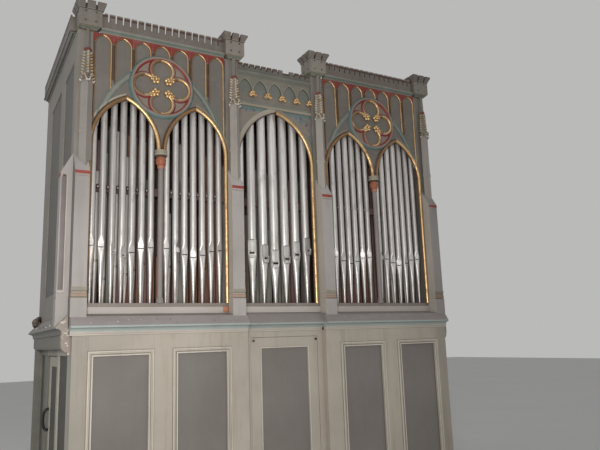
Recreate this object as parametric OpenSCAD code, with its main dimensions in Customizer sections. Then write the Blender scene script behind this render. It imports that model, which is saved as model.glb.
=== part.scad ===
// Neo-Gothic pipe organ: painted timber case with display pipes in three bays.
// The origin lies on the floor, at the middle of the facade. X runs to the right
// along the facade, Y goes back into the case and Z is up. All sizes in millimetres.

/* [Facade layout] */
// Distance from the middle to the centre line of an outer pier
outer_pier_x = 1885; // [1750:5:2050]
// Distance from the middle to the centre line of an inner pier
inner_pier_x = 491; // [440:1:560]
// Depth of the whole case behind the facade
case_depth = 1900; // [1200:10:2300]
// Thickness of the upper case boards
board = 28; // [20:1:36]
// How far the middle bay is set back in the upper case
middle_setback = 28; // [20:1:60]

/* [Levels] */
// Height of the plinth
plinth_h = 120; // [60:5:200]
// Top of the lower case frames
lower_top_z = 1692; // [1500:1:1800]
// Top of the sloping impost weathering
weathering_top_z = 1868; // [1850:1:1900]
// Sill of the pipe openings, where the pipe feet stand
sill_z = 1958; // [1940:1:2000]
// Springing line of the side lancets
spring_z = 3336; // [3200:1:3400]
// Apex of the side lancets
apex_z = 3785; // [3740:1:3830]
// Springing line of the middle lancet
middle_spring_z = 3350; // [3250:1:3400]
// Apex of the middle lancet
middle_apex_z = 3905; // [3850:1:3915]
// Underside of the top cornice of the side bays
cornice_z = 4365; // [4330:1:4450]
// Height of the cresting on the side bays
crest_h = 151; // [120:1:170]
// Height of the cresting on the middle bay
middle_crest_h = 74; // [60:1:100]

/* [Lower case] */
// Distance from the middle to the lower case side
lower_side_x = 1925; // [1850:1:1944]
// Distance from the middle to where the side bays step back
bay_step_x = 410; // [380:1:425]
// Depth of the middle lower bay behind the side bays
bay_step_y = 73; // [50:1:100]
// Thickness of the lower case frames
frame_t = 35; // [28:1:45]
// Width of each panel opening
panel_open_w = 530; // [480:1:540]
// Centre of the inner panel from the middle
inner_panel_x = 843; // [800:1:860]
// Centre of the outer panel from the middle
outer_panel_x = 1537; // [1500:1:1560]
// Top of the panel openings
panel_top_z = 1567; // [1500:1:1600]
// Bottom of the panel openings
panel_bottom_z = 250; // [200:1:400]
// Width of the moulding round a panel
panel_moulding_w = 42; // [30:1:50]
// Width of the access panel in the middle
access_w = 710; // [640:1:740]
// Top of the access panel
access_top_z = 1639; // [1600:1:1660]

/* [Side door] */
// Near edge of the doorway, measured back from the facade
door_y0 = 620; // [560:1:700]
// Width of the doorway
doorway_w = 620; // [540:1:700]
// Bottom of the doorway
door_z0 = 150; // [130:1:250]
// Top of the doorway
door_z1 = 1535; // [1400:1:1560]
// Gap all round the door leaf
door_gap = 5; // [5:1:8]
// Thickness of the door leaf
door_t = 30; // [25:1:35]
// How far the leaf is set back in its frame
door_recess = 22; // [19:1:26]

/* [Piers] */
// Width of a pier
pier_w = 117; // [100:1:130]
// Projection of the front piers
pier_proj = 123; // [110:1:140]
// Projection of the side piers
side_pier_proj = 95; // [80:1:98]
// Top of the upright front of a pier, above its red band
pier_front_z = 3050; // [3040:1:3120]
// Rise of the sloping top of a pier
pier_rise = 176; // [140:1:200]
// Width of the cornerwise shaft over a pier
shaft_w = 72; // [64:1:84]
// Foot of the gablets
gablet_z = 3850; // [3800:1:3900]
// Collar at the tip of the spires
collar_z = 4152; // [4120:1:4200]

/* [Pipes] */
// Diameter of the display pipes in the side bays
side_pipe_d = 60; // [50:1:66]
// Height of the lowest mouth in a side lancet above the sill
side_mouth_h = 410; // [360:1:460]
// Height of the lowest mouth in the middle bay above the sill
middle_mouth_h = 384; // [340:1:440]
// Spacing of the pipes in the middle bay
middle_pitch = 121; // [112:1:122]
// Diameter of the widest display pipe in the middle bay
middle_pipe_d = 87; // [78:1:92]
// Number of pipes in each lancet
pipes_per_lancet = 7; // [5:2:9]
// Gap between the facade boards and the pipes
pipe_gap = 14; // [8:1:24]

/* [Hidden] */
$fn = 48;

// Planes of the facade
plinth_seat_y = 20;
upper_side_x = outer_pier_x + pier_w / 2;
bay_in_x = inner_pier_x + pier_w / 2 + 12;
bay_out_x = outer_pier_x - pier_w / 2 - 13;
bay_mid_x = (bay_in_x + bay_out_x) / 2;
bay_w = bay_out_x - bay_in_x;
middle_half = inner_pier_x - pier_w / 2 - 12;
front_y = -pier_proj;
middle_front_y = front_y + bay_step_y;
back_board = 20;
back_y = case_depth - back_board;

// Lancet openings
colonnette_d = 52;
capital_r = 58;
lancet_half = (bay_w - colonnette_d) / 4;
lancet_dx = lancet_half + colonnette_d / 2;
lancet_rise = apex_z - spring_z;
lancet_r = (pow(lancet_half, 2) + pow(lancet_rise, 2)) / (2 * lancet_half);
middle_rise = middle_apex_z - middle_spring_z;
middle_r = (pow(middle_half, 2) + pow(middle_rise, 2)) / (2 * middle_half);
roll_d = 20;
roll_in = 4;
seat = 0.3;
trim_t = 10;
line_w = 9;
great_w = 50;
frieze_arches = 5;
frieze_foot_z = 4062;
frieze_drop = 140;
frieze_spring_z = 4090;
frieze_apex_z = 4205;
frieze_t = 12;
frieze_bud_r = 36;
frieze_bud_z = frieze_foot_z - 12;
blind_count = 7;
blind_apex_z = 4345;
blind_rise = 84;
mullion_w = 45;
bud_r = 30;
bud_out = 70;
pinnacle_y = -40;
ring_z = 3394;
ring_h = 36;
gable_h = 82;
rail_z = 2930;
rail_h = 70;
rail_t = 22;
side_lip_h = 105;
middle_lip_h = 118;
side_cornice_out = 52;

// Great arch and wheel of the side bays
great_half = bay_w / 2 - 6;
great_top_z = cornice_z - 140;
great_rise = great_top_z - spring_z;
great_r = (pow(great_half, 2) + pow(great_rise, 2)) / (2 * great_half);
wheel_z = cornice_z - 419;
wheel_r = 290;
lobe_r = 104;
lobe_out = 160;
blind_half = bay_w / blind_count / 2 - mullion_w / 2;
blind_r = (pow(blind_half, 2) + pow(blind_rise, 2)) / (2 * blind_half);

// Impost cornice: the nose of the weathering, measured out from the frame below
nose_out = 53;
nose_z = 1756;
nose_h = 12;
knee_z = weathering_top_z - 23;
side_nose_x = upper_side_x + 98;
fascia_x = lower_side_x + 60;
fascia_z = 1590;
deck_t = 30;
sill_board_y0 = -12;
sill_board_t = 28;
toe_t = 32;
toe_y0 = 4;
chest_y0 = 200;
chest_depth = 900;
chest_half = upper_side_x - board - 95;

// Top cornice and cresting
cornice_h = 40;
cornice_out = 34;
crest_t = 24;
merlon_pitch = 66;
slot_w = 16;
slot_depth = 80;
middle_cornice_z = 4237;
middle_cornice_h = 53;
turret_w = 196;
turret_y0 = -64;
turret_foot_h = 36;
turret_body_z = cornice_z + 178;
turret_top_z = turret_body_z + 70;
crown_out = 29;

// The shafts and the turrets stand a little off the axes of their piers
shaft_xs = [24 - outer_pier_x, 15 - inner_pier_x, inner_pier_x, outer_pier_x + 22];
turret_xs = [38 - outer_pier_x, 20 - inner_pier_x, inner_pier_x - 5, outer_pier_x + 10];

// Colours
grey = [0.50, 0.49, 0.47];
panel_grey = [0.44, 0.43, 0.42];
cream = [0.66, 0.62, 0.55];
light_cream = [0.74, 0.71, 0.66];
gold = [0.72, 0.52, 0.20];
red = [0.55, 0.14, 0.10];
teal = [0.40, 0.52, 0.52];
tin = [0.68, 0.68, 0.67];
chest_brown = [0.33, 0.20, 0.15];
iron = [0.08, 0.08, 0.08];

// A block given by its two opposite corners
module block(a, b) {
    translate(a) cube(b - a);
}

// The same piece on both sides of the middle
module both_sides() {
    children();
    mirror([1, 0, 0]) children();
}

// An outline in Y and Z, run along X from x0 to x1
module run_x(x0, x1, outline) {
    translate([x0, 0, 0]) rotate([90, 0, 90]) linear_extrude(x1 - x0) polygon(outline);
}

// An outline in X and Z, run along Y from y0 to y1
module run_y(y0, y1, outline) {
    translate([0, y1, 0]) rotate([90, 0, 0]) linear_extrude(y1 - y0) polygon(outline);
}

// A flat shape drawn in X and Z, given a thickness from y0 to y1
module upright(y0, y1) {
    translate([0, y1, 0]) rotate([90, 0, 0]) linear_extrude(y1 - y0) children();
}

// A square turned piece: half widths and heights, the same seen from front and side
module squared(profile) {
    n = len(profile);
    outline = concat(profile, [for (i = [n - 1 : -1 : 0]) [-profile[i][0], profile[i][1]]]);
    reach = max([for (p = profile) p[0]]) + 1;
    intersection() {
        run_x(-reach, reach, outline);
        run_y(-reach, reach, outline);
    }
}

// Pointed arch area: half width, arc radius, foot length below the springing
module pointed_area(half, r, foot) {
    intersection() {
        translate([half - r, 0]) circle(r, $fn = 288);
        translate([r - half, 0]) circle(r, $fn = 288);
        translate([-half, 0]) square([2 * half, 2 * r]);
    }
    if (foot > 0)
        translate([-half, -foot]) square([2 * half, foot]);
}

// LOWER CASE

// Front plinth, stepped back at the middle bay
module plinth_front() {
    out = 12;
    color(cream) linear_extrude(plinth_h) polygon([
        [-lower_side_x - out, front_y - out], [-bay_step_x + out, front_y - out],
        [-bay_step_x + out, middle_front_y - out], [bay_step_x - out, middle_front_y - out],
        [bay_step_x - out, front_y - out], [lower_side_x + out, front_y - out],
        [lower_side_x + out, front_y + frame_t], [bay_step_x, front_y + frame_t],
        [bay_step_x, plinth_seat_y], [-bay_step_x, plinth_seat_y],
        [-bay_step_x, front_y + frame_t], [-lower_side_x - out, front_y + frame_t]]);
}

// Side and back plinth boards in one run
module plinth_rear() {
    out = 12;
    color(cream) {
        both_sides() block([lower_side_x - frame_t, front_y + frame_t, 0],
            [lower_side_x + out, case_depth, plinth_h]);
        block([-lower_side_x, back_y, 0], [lower_side_x, case_depth, plinth_h]);
    }
}

// Upright members of the front frames
module lower_stiles() {
    half = panel_open_w / 2;
    y1 = front_y + frame_t;
    color(cream) {
        both_sides() {
            block([outer_panel_x + half, front_y, plinth_h], [lower_side_x, y1, lower_top_z]);
            block([inner_panel_x + half, front_y, plinth_h], [outer_panel_x - half, y1, lower_top_z]);
            block([bay_step_x, front_y, plinth_h], [inner_panel_x - half, y1, lower_top_z]);
            block([bay_step_x, y1 - 1, plinth_h],
                [bay_step_x + board, middle_front_y + frame_t, lower_top_z]);
            block([access_w / 2, middle_front_y, plinth_h],
                [bay_step_x, middle_front_y + frame_t, lower_top_z]);
        }
    }
}

// Level members of the front frames, between the stiles
module lower_rails() {
    half = panel_open_w / 2;
    y1 = front_y + frame_t;
    color(cream) {
        both_sides() for (x = [inner_panel_x, outer_panel_x]) {
            block([x - half, front_y, panel_top_z], [x + half, y1, lower_top_z]);
            block([x - half, front_y, plinth_h], [x + half, y1, panel_bottom_z]);
        }
        block([-access_w / 2, middle_front_y, access_top_z],
            [access_w / 2, middle_front_y + frame_t, lower_top_z]);
    }
}

// Grey panels set back in the frames
module lower_panels() {
    half = panel_open_w / 2;
    set_back = 16;
    panel_t = 10;
    color(panel_grey)
        both_sides() for (x = [inner_panel_x, outer_panel_x])
            block([x - half, front_y + set_back, panel_bottom_z],
                [x + half, front_y + set_back + panel_t, panel_top_z]);
}

// One mitred frame moulding: quarter round outside, step inside
module frame_moulding(x0, x1, z0, z1, y_seat, y_front) {
    w = panel_moulding_w;
    difference() {
        block([x0, y_front, z0], [x1, y_seat, z1]);
        block([x0 + w, y_front - 1, z0 + w], [x1 - w, y_seat + 1, z1 - w]);
        block([x0 + w * 0.55, y_front - 1, z0 + w * 0.55],
            [x1 - w * 0.55, y_front + 9, z1 - w * 0.55]);
    }
}

module panel_mouldings() {
    half = panel_open_w / 2;
    color(light_cream)
        both_sides() for (x = [inner_panel_x, outer_panel_x])
            frame_moulding(x - half, x + half, panel_bottom_z, panel_top_z,
                front_y + 16, front_y - 6);
}

// Lift-out access panel in the middle bay
module access_panel() {
    half = access_w / 2 - 2;
    field = 247;
    top = access_top_z - 2;
    color(cream) difference() {
        block([-half, middle_front_y + 3, plinth_h],
            [half, middle_front_y + frame_t - 4, top]);
        block([-field, middle_front_y - 5, panel_bottom_z], [field, middle_front_y + 16, top - 99]);
    }
}

// Turned wooden knobs at the top corners of the access panel
module access_knobs() {
    for (x = [-access_w / 2 + 24, access_w / 2 - 24])
        color(iron) translate([x, middle_front_y + 3, access_top_z - 30]) rotate([90, 0, 0])
            rotate_extrude() polygon([[0, 0], [6, 0], [6, 6], [11, 10], [12, 16], [8, 21], [0, 22]]);
}

// A stretch of side wall with one sunk panel between y_a and y_b
module side_board(x_in, x_out, y0, y1, z0, z1, y_a, y_b, z_a, z_b, sink) {
    difference() {
        block([x_in, y0, z0], [x_out, y1, z1]);
        block([x_out - sink, y_a, z_a], [x_out + 1, y_b, z_b]);
    }
}

side_sink = 15;
near_panel = [73, 540];
far_panel = [door_y0 + doorway_w + 190, case_depth - 160];
middle_side_panel = [door_y0 + 40, door_y0 + doorway_w - 20];
pilaster_y0 = case_depth - 140;

module lower_side_front() {
    color(cream) mirror([1, 0, 0])
        side_board(lower_side_x - frame_t, lower_side_x, front_y + frame_t, door_y0,
            plinth_h, lower_top_z, near_panel[0], near_panel[1],
            panel_bottom_z, panel_top_z - 30, side_sink);
}

module lower_side_rear() {
    color(cream) mirror([1, 0, 0]) {
        side_board(lower_side_x - frame_t, lower_side_x, door_y0 + doorway_w, back_y,
            plinth_h, lower_top_z, far_panel[0], far_panel[1],
            panel_bottom_z, panel_top_z - 30, side_sink);
        rear_pilaster();
    }
}

// Head and sill of the doorway
module doorway_rails() {
    color(cream) {
        block([-lower_side_x, door_y0, door_z1],
            [-lower_side_x + frame_t, door_y0 + doorway_w, lower_top_z]);
        block([-lower_side_x, door_y0, plinth_h],
            [-lower_side_x + frame_t, door_y0 + doorway_w, door_z0]);
    }
}

// Right side of the lower case: three sunk panels
module lower_side_right() {
    x0 = lower_side_x - frame_t;
    color(cream) {
        difference() {
            block([x0, front_y + frame_t, plinth_h], [lower_side_x, back_y, lower_top_z]);
            for (span = [near_panel, middle_side_panel, far_panel])
                block([lower_side_x - side_sink, span[0], panel_bottom_z],
                    [lower_side_x + 1, span[1], panel_top_z - 30]);
        }
        rear_pilaster();
    }
}

// Pilaster at the rear corner, under the fascia
module rear_pilaster() {
    block([lower_side_x - 1, pilaster_y0, plinth_h], [lower_side_x + 46, case_depth, fascia_z]);
}

// Door leaf in the left side
door_face_x = -lower_side_x + door_recess;
leaf_y0 = door_y0 + door_gap;
leaf_y1 = door_y0 + doorway_w - door_gap;
module side_door() {
    sunk = 8;
    color(panel_grey) difference() {
        block([door_face_x, leaf_y0, door_z0 + door_gap],
            [door_face_x + door_t, leaf_y1, door_z1 - door_gap]);
        block([door_face_x - 1, leaf_y0 + 90, door_z0 + 110],
            [door_face_x + sunk, leaf_y1 - 90, door_z1 - 100]);
    }
}

// Bow pull handle with two feet
handle_z = 945;
handle_h = 190;
handle_y = leaf_y1 - 45;
module door_handle() {
    bar_d = 16;
    reach = 48;
    color(iron) {
        for (z = [handle_z - handle_h / 2, handle_z + handle_h / 2])
            translate([door_face_x, handle_y, z]) rotate([0, -90, 0]) {
                cylinder(h = 5, d = 34);
                cylinder(h = reach, d = bar_d);
            }
        translate([door_face_x - reach, handle_y, handle_z - handle_h / 2 - bar_d / 2])
            cylinder(h = handle_h + bar_d, d = bar_d);
    }
}

// Butt hinges: the pin and outer knuckles are on the frame
hinge_zs = [380, 1270];
hinge_off = 9;
hinge_x = door_face_x - hinge_off;
hinge_y = door_y0 + hinge_off;
knuckle_h = 30;
knuckle_r = 8;
pin_r = 4;
knuckle_play = 1;
module door_hinges() {
    color(iron) for (z = hinge_zs) {
        translate([hinge_x, hinge_y, z - 1.5 * knuckle_h]) cylinder(h = 3 * knuckle_h, r = pin_r);
        for (side = [-1, 1]) translate([0, 0, z + side * knuckle_h - knuckle_h / 2]) {
            translate([hinge_x, hinge_y, 0]) cylinder(h = knuckle_h, r = knuckle_r);
            block([hinge_x - 8, door_y0, 0], [hinge_x + 8, door_y0 + 3, knuckle_h]);
        }
    }
}

// The middle knuckles turn on the pins with the door
module door_knuckles() {
    h = knuckle_h - 2 * knuckle_play;
    color(iron) for (z = hinge_zs) translate([0, 0, z - h / 2]) difference() {
        union() {
            translate([hinge_x, hinge_y, 0]) cylinder(h = h, r = knuckle_r);
            block([door_face_x - 2.5, hinge_y - 1, 0], [door_face_x, hinge_y + 34, h]);
        }
        translate([hinge_x, hinge_y, -1]) cylinder(h = h + 2, r = pin_r + 0.05);
    }
}

module lower_back() {
    half = lower_side_x - 1;
    color(chest_brown)
        block([-half, back_y, plinth_h], [half, case_depth, lower_top_z]);
}

// IMPOST

// Board that closes the lower case and carries the upper one
module deck() {
    color(chest_brown) translate([0, 0, lower_top_z]) linear_extrude(deck_t) polygon([
        [-lower_side_x, front_y + frame_t], [-bay_step_x, front_y + frame_t],
        [-bay_step_x, middle_front_y + frame_t], [bay_step_x, middle_front_y + frame_t],
        [bay_step_x, front_y + frame_t], [lower_side_x, front_y + frame_t],
        [lower_side_x, case_depth], [-lower_side_x, case_depth]]);
}

// Outline of the impost mouldings, from the frame top up to the weathering
function cove_points(y0, z0, run, rise, n = 6) =
    [for (i = [0 : n]) [y0 - run * (1 - cos(90 * i / n)), z0 + rise * sin(90 * i / n)]];

function impost_outline(y) = concat(
    [[y + frame_t, lower_top_z], [y - 7, lower_top_z], [y - 7, lower_top_z + 14],
        [y - 13, lower_top_z + 14], [y - 13, lower_top_z + 30]],
    cove_points(y - 13, lower_top_z + 30, 34, 30),
    [[y - nose_out, nose_z], [y - nose_out, nose_z + nose_h], [y, knee_z],
        [sill_board_y0, weathering_top_z], [sill_board_y0 + sill_board_t, weathering_top_z],
        [sill_board_y0 + sill_board_t, lower_top_z + deck_t],
        [y + frame_t, lower_top_z + deck_t]]);

module impost_front() {
    color(grey) {
        both_sides() run_x(bay_step_x, upper_side_x, impost_outline(front_y));
        run_x(-bay_step_x, bay_step_x, impost_outline(middle_front_y));
    }
}

// Side impost with its deep fascia, which overhangs the lower case
side_impost_y0 = -70;
bracket_z = 1545;
module impost_sides() {
    z = lower_top_z;
    outline = concat(
        [[lower_side_x, fascia_z], [fascia_x - 14, fascia_z], [fascia_x, fascia_z + 22],
            [fascia_x, z + 12], [fascia_x + 12, z + 14], [fascia_x + 12, z + 30]],
        [for (p = cove_points(0, z + 30, side_nose_x - fascia_x - 18, 30))
            [fascia_x + 12 - p[0], p[1]]],
        [[side_nose_x, nose_z], [side_nose_x, nose_z + nose_h],
            [upper_side_x, weathering_top_z], [lower_side_x - frame_t, weathering_top_z],
            [lower_side_x - frame_t, z + deck_t], [lower_side_x, z + deck_t]]);
    bracket = concat([[lower_side_x, bracket_z], [lower_side_x + 22, bracket_z]],
        [for (i = [0 : 6]) [lower_side_x + 22 + 52 * sin(15 * i),
            bracket_z + 20 + 70 * (1 - cos(15 * i))]],
        [[fascia_x + 14, z + 12], [lower_side_x, z + 12]]);
    color(grey) both_sides() {
        difference() {
            run_y(side_impost_y0, case_depth, outline);
            block([0, side_impost_y0 - 1, z], [upper_side_x, sill_board_y0 + sill_board_t, 2 * z]);
            block([0, side_impost_y0 - 1, nose_z], [upper_side_x + 6, 0, 2 * z]);
        }
        run_y(side_impost_y0, side_impost_y0 + 70, bracket);
    }
}

// UPPER CASE

// Cream boards below the pipe openings
module sill_boards() {
    y1 = sill_board_y0 + sill_board_t;
    z1 = sill_z - toe_t;
    color(light_cream) {
        both_sides()
            block([inner_pier_x + pier_w / 2, sill_board_y0, weathering_top_z],
                [outer_pier_x - pier_w / 2, 0, z1]);
        block([-inner_pier_x + pier_w / 2, sill_board_y0, weathering_top_z],
            [inner_pier_x - pier_w / 2, 0, z1]);
    }
}

// Boards on which the pipe feet stand
module toe_boards() {
    color(chest_brown) {
        both_sides() block([bay_in_x, -4, sill_z - toe_t], [bay_out_x, chest_y0, sill_z]);
        block([-middle_half, -4, sill_z - toe_t], [middle_half, chest_y0, sill_z]);
    }
}

// Wind chest behind the display pipes
module wind_chest() {
    color(chest_brown)
        block([-chest_half, chest_y0, lower_top_z + deck_t],
            [chest_half, chest_y0 + chest_depth, sill_z]);
}

// Upright boards behind the piers
module facade_stiles() {
    color(grey) both_sides() {
        block([middle_half, 0, weathering_top_z], [bay_in_x, board, cornice_z]);
        block([bay_out_x, 0, weathering_top_z], [upper_side_x, board, cornice_z]);
    }
}

// Head of a side bay: a board with two pointed openings cut up into it
module side_head() {
    color(grey) upright(0, board) difference() {
        translate([bay_in_x, spring_z]) square([bay_w, cornice_z - spring_z]);
        for (side = [-1, 1]) translate([bay_mid_x + side * lancet_dx, spring_z])
            pointed_area(lancet_half, lancet_r, 1);
    }
}

module side_heads() {
    both_sides() side_head();
}

module head_middle() {
    half = inner_pier_x;
    color(grey) upright(board, board + middle_setback) difference() {
        translate([-half, middle_spring_z])
            square([2 * half, middle_cornice_z + middle_cornice_h - middle_spring_z]);
        translate([0, middle_spring_z]) pointed_area(middle_half - 10, middle_r - 10, 1);
    }
}

// Slim column between the two lancets of a side bay
module colonnettes() {
    r = colonnette_d / 2;
    top = spring_z - sill_z;
    color(grey) both_sides() translate([bay_mid_x, board / 2 - 2, sill_z])
        rotate_extrude() polygon([
            [0, 0], [r + 8, 0], [r + 8, 26], [r + 3, 32], [r + 3, 44], [r - 3, 52],
            [r - 3, top - 172], [r + 5, top - 165], [r + 5, top - 142], [r + 1, top - 136],
            [r + 13, top - 124], [r + 18, top - 84], [r + 14, top - 76], [r + 14, top - 66],
            [capital_r - 5, top - 50], [capital_r, top - 44], [capital_r, top - 28],
            [capital_r - 6, top - 22], [capital_r - 6, top - 12], [capital_r - 2, top],
            [0, top]]);
}

// Half of a roll moulding round a pointed opening, on the right-hand side
module roll_half(half, r, leg, d) {
    rotate([90, 0, 0]) translate([half - r, 0, 0])
        rotate_extrude(angle = acos((r - half) / r)) translate([r, 0]) circle(d = d, $fn = 20);
    translate([half, 0, -leg]) cylinder(h = leg, d = d, $fn = 20);
}

module arch_rolls() {
    d = roll_d;
    leg = spring_z - sill_z;
    color(gold) both_sides() {
        for (side = [0, 1])
            translate([bay_mid_x, -d / 2 + 0.5, spring_z]) mirror([side, 0, 0])
                translate([lancet_dx, 0, 0]) {
                    roll_half(lancet_half - roll_in, lancet_r - roll_in, leg, d);
                    mirror([1, 0, 0]) roll_half(lancet_half - roll_in, lancet_r - roll_in, 0, d);
                }
        translate([0, board - d / 2, middle_spring_z])
            roll_half(middle_half - d / 2 - seat, middle_r - d / 2 - seat,
                middle_spring_z - sill_z, d);
    }
}

// Two thin lines along the great arch and round the wheel
module great_arches() {
    clear = roll_d / 2 - roll_in + 1;
    color(teal) both_sides() translate([bay_mid_x, 0, spring_z]) upright(-trim_t, 0) {
        for (inset = [0, great_w - line_w]) difference() {
            pointed_area(great_half - inset, great_r - inset, 0);
            pointed_area(great_half - inset - line_w, great_r - inset - line_w, 1);
            for (side = [-1, 1]) translate([side * lancet_dx, 0])
                pointed_area(lancet_half + clear, lancet_r + clear, 1);
            translate([-great_half, -1]) square([2 * great_half, 160 + inset * 2]);
            translate([0, wheel_z - spring_z]) circle(wheel_r + seat, $fn = 192);
        }
        translate([0, wheel_z - spring_z]) difference() {
            circle(wheel_r, $fn = 192);
            circle(wheel_r - line_w - 3, $fn = 192);
        }
    }
}

// Outline of the four-lobed opening in the wheel, grown or shrunk by d
module four_lobes(d) {
    for (a = [0 : 90 : 270]) rotate(a) translate([lobe_out, 0]) circle(lobe_r + d);
    square(150, center = true);
}

// Rolls round the four lobes
module wheel_lobes() {
    color(gold) both_sides() translate([bay_mid_x, 0, wheel_z]) upright(-trim_t - 4, 0)
        for (a = [0 : 90 : 270]) rotate(a) difference() {
            translate([lobe_out, 0]) circle(lobe_r + 8);
            translate([lobe_out, 0]) circle(lobe_r - 10);
            square(150, center = true);
            for (side = [-1, 1]) translate([bud_out, side * bud_out]) circle(bud_r + seat);
        }
}

// Painted grounds: between the lobes and the wheel, and over the blind lancets
module red_fields() {
    t = 4;
    pitch = bay_w / blind_count;
    color(red) both_sides() {
        translate([bay_mid_x, 0, wheel_z]) upright(-t, 0) difference() {
            circle(wheel_r - line_w - 3 - 12, $fn = 192);
            four_lobes(8 + seat);
            for (i = [-1, 1]) for (j = [-1, 1]) translate([i * bud_out, j * bud_out])
                circle(bud_r + seat);
        }
        translate([bay_in_x, 0, 0]) upright(-t, 0) for (i = [0 : blind_count - 1])
            translate([pitch * (i + 0.5), blind_apex_z - blind_rise]) difference() {
                translate([-pitch / 2 + 3, 20])
                    square([pitch - 6, cornice_z - 4 - blind_apex_z + blind_rise - 20]);
                pointed_area(blind_half + line_w + 1, blind_r + line_w + 1, 1);
            }
    }
}

// Thin gold lines round seven blind lancets, dying on the great arch and the wheel
module blind_lancets() {
    clear = roll_d / 2 - roll_in + 1;
    pitch = bay_w / blind_count;
    foot = blind_apex_z - blind_rise - spring_z - 40;
    color(gold) both_sides() translate([bay_mid_x, 0, 0]) upright(-trim_t, 0)
        difference() {
            for (i = [0 : blind_count - 1])
                translate([pitch * (i + 0.5) - bay_w / 2, blind_apex_z - blind_rise])
                    difference() {
                        pointed_area(blind_half + line_w, blind_r + line_w, foot);
                        pointed_area(blind_half, blind_r, foot + 1);
                    }
            translate([0, spring_z]) pointed_area(great_half + seat, great_r + seat, 40);
            translate([0, wheel_z]) circle(wheel_r + seat, $fn = 192);
            for (side = [-1, 1]) translate([side * lancet_dx, spring_z])
                pointed_area(lancet_half + clear, lancet_r + clear, 40);
        }
}

// Frieze of the middle bay: mouldings and five small arches with pendants
module frieze() {
    pitch = 2 * middle_half / frieze_arches;
    half = pitch / 2 - 10;
    rise = frieze_apex_z - frieze_spring_z;
    r = (half * half + rise * rise) / (2 * half);
    f = frieze_foot_z - frieze_drop;
    color(grey) {
        run_x(-middle_half, middle_half, [[board, f], [board - 12, f], [board - 22, f + 12],
            [board - 22, f + 22], [board - 14, f + 30], [board - 14, f + 44], [board, f + 56]]);
        upright(board - frieze_t, board) difference() {
            translate([-middle_half, frieze_foot_z])
                square([2 * middle_half, middle_cornice_z - frieze_foot_z]);
            for (i = [0 : frieze_arches - 1])
                translate([pitch * (i + 0.5) - middle_half, frieze_spring_z])
                    pointed_area(half, r, 60);
        }
    }
}

// Gilded leaf bud on a flat ground, pointing to the front
module bud(r) {
    rotate([90, 0, 0]) rotate_extrude() polygon([[0, 0], [r, 0], [r, 5], [r * 0.8, 13],
        [r * 0.45, 17], [r * 0.3, 24], [0, 27]]);
}

module gold_buds() {
    pitch = 2 * middle_half / frieze_arches;
    color(gold) {
        both_sides() for (i = [-1, 1]) for (j = [-1, 1])
            translate([bay_mid_x + i * bud_out, 0, wheel_z + j * bud_out]) bud(bud_r);
        for (i = [0 : frieze_arches]) intersection() {
            translate([pitch * i - middle_half, board - frieze_t, frieze_bud_z]) bud(frieze_bud_r);
            block([-middle_half, -2 * board, middle_spring_z], [middle_half, board, cornice_z]);
        }
    }
}

pier_base_out = 5;
pier_base_z = sill_z + 42;
pier_bands_z = [[pier_base_z + 6, pier_base_z + 32], [pier_base_z + 50, pier_base_z + 80]];

// Front pier: its foot is cut to the slope of the weathering
function slope_z(y) = knee_z + (y - front_y) * (y > front_y
    ? (weathering_top_z - knee_z) / (sill_board_y0 - front_y)
    : (knee_z - nose_z - nose_h) / nose_out);

module front_pier() {
    w = pier_w / 2;
    run_x(-w, w, [[front_y, slope_z(front_y)], [sill_board_y0, weathering_top_z],
        [0, weathering_top_z], [0, pier_front_z + pier_rise], [front_y, pier_front_z]]);
    out = pier_base_out;
    run_x(-w - out, w + out, [[front_y - out, slope_z(front_y - out)], [front_y, knee_z],
        [sill_board_y0, weathering_top_z], [sill_board_y0, pier_base_z],
        [front_y + 2, pier_base_z], [front_y - out, pier_base_z - 9]]);
    for (band = pier_bands_z)
        run_x(-w - 3, w + 3, [[front_y - 3, band[0]], [sill_board_y0, band[0]],
            [sill_board_y0, band[1]], [front_y - 3, band[1]]]);
}

module front_piers() {
    color(grey) both_sides() for (x = [inner_pier_x, outer_pier_x])
        translate([x, 0, 0]) front_pier();
}

// Side piers, the same design turned to the side
module side_piers() {
    out = side_pier_proj;
    more = pier_base_out;
    fall = (weathering_top_z - nose_z - nose_h) / (side_nose_x - upper_side_x);
    x0 = upper_side_x;
    color(grey) both_sides() {
        run_y(0, pier_w, [[x0, weathering_top_z], [x0 + out, weathering_top_z - out * fall],
            [x0 + out, pier_front_z], [x0, pier_front_z + pier_rise]]);
        run_y(0, pier_w + more, [[x0, weathering_top_z],
            [x0 + out + more - 2, weathering_top_z - (out + more - 2) * fall],
            [x0 + out + more - 2, pier_base_z - 9], [x0 + out - 2, pier_base_z],
            [x0, pier_base_z]]);
        for (band = pier_bands_z)
            block([x0, 0, band[0]], [x0 + out + 2, pier_w + 3, band[1]]);
    }
}

// Red bands under the sloping tops of the piers
module pier_bands() {
    z0 = pier_front_z - 30;
    z1 = pier_front_z - 4;
    x0 = upper_side_x + side_pier_proj;
    color(red) {
        both_sides() {
            for (x = [inner_pier_x, outer_pier_x])
                block([x - pier_w / 2, front_y - 4, z0], [x + pier_w / 2, front_y, z1]);
            block([x0, 0, z0], [x0 + 3, pier_w, z1]);
        }
    }
}

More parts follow.
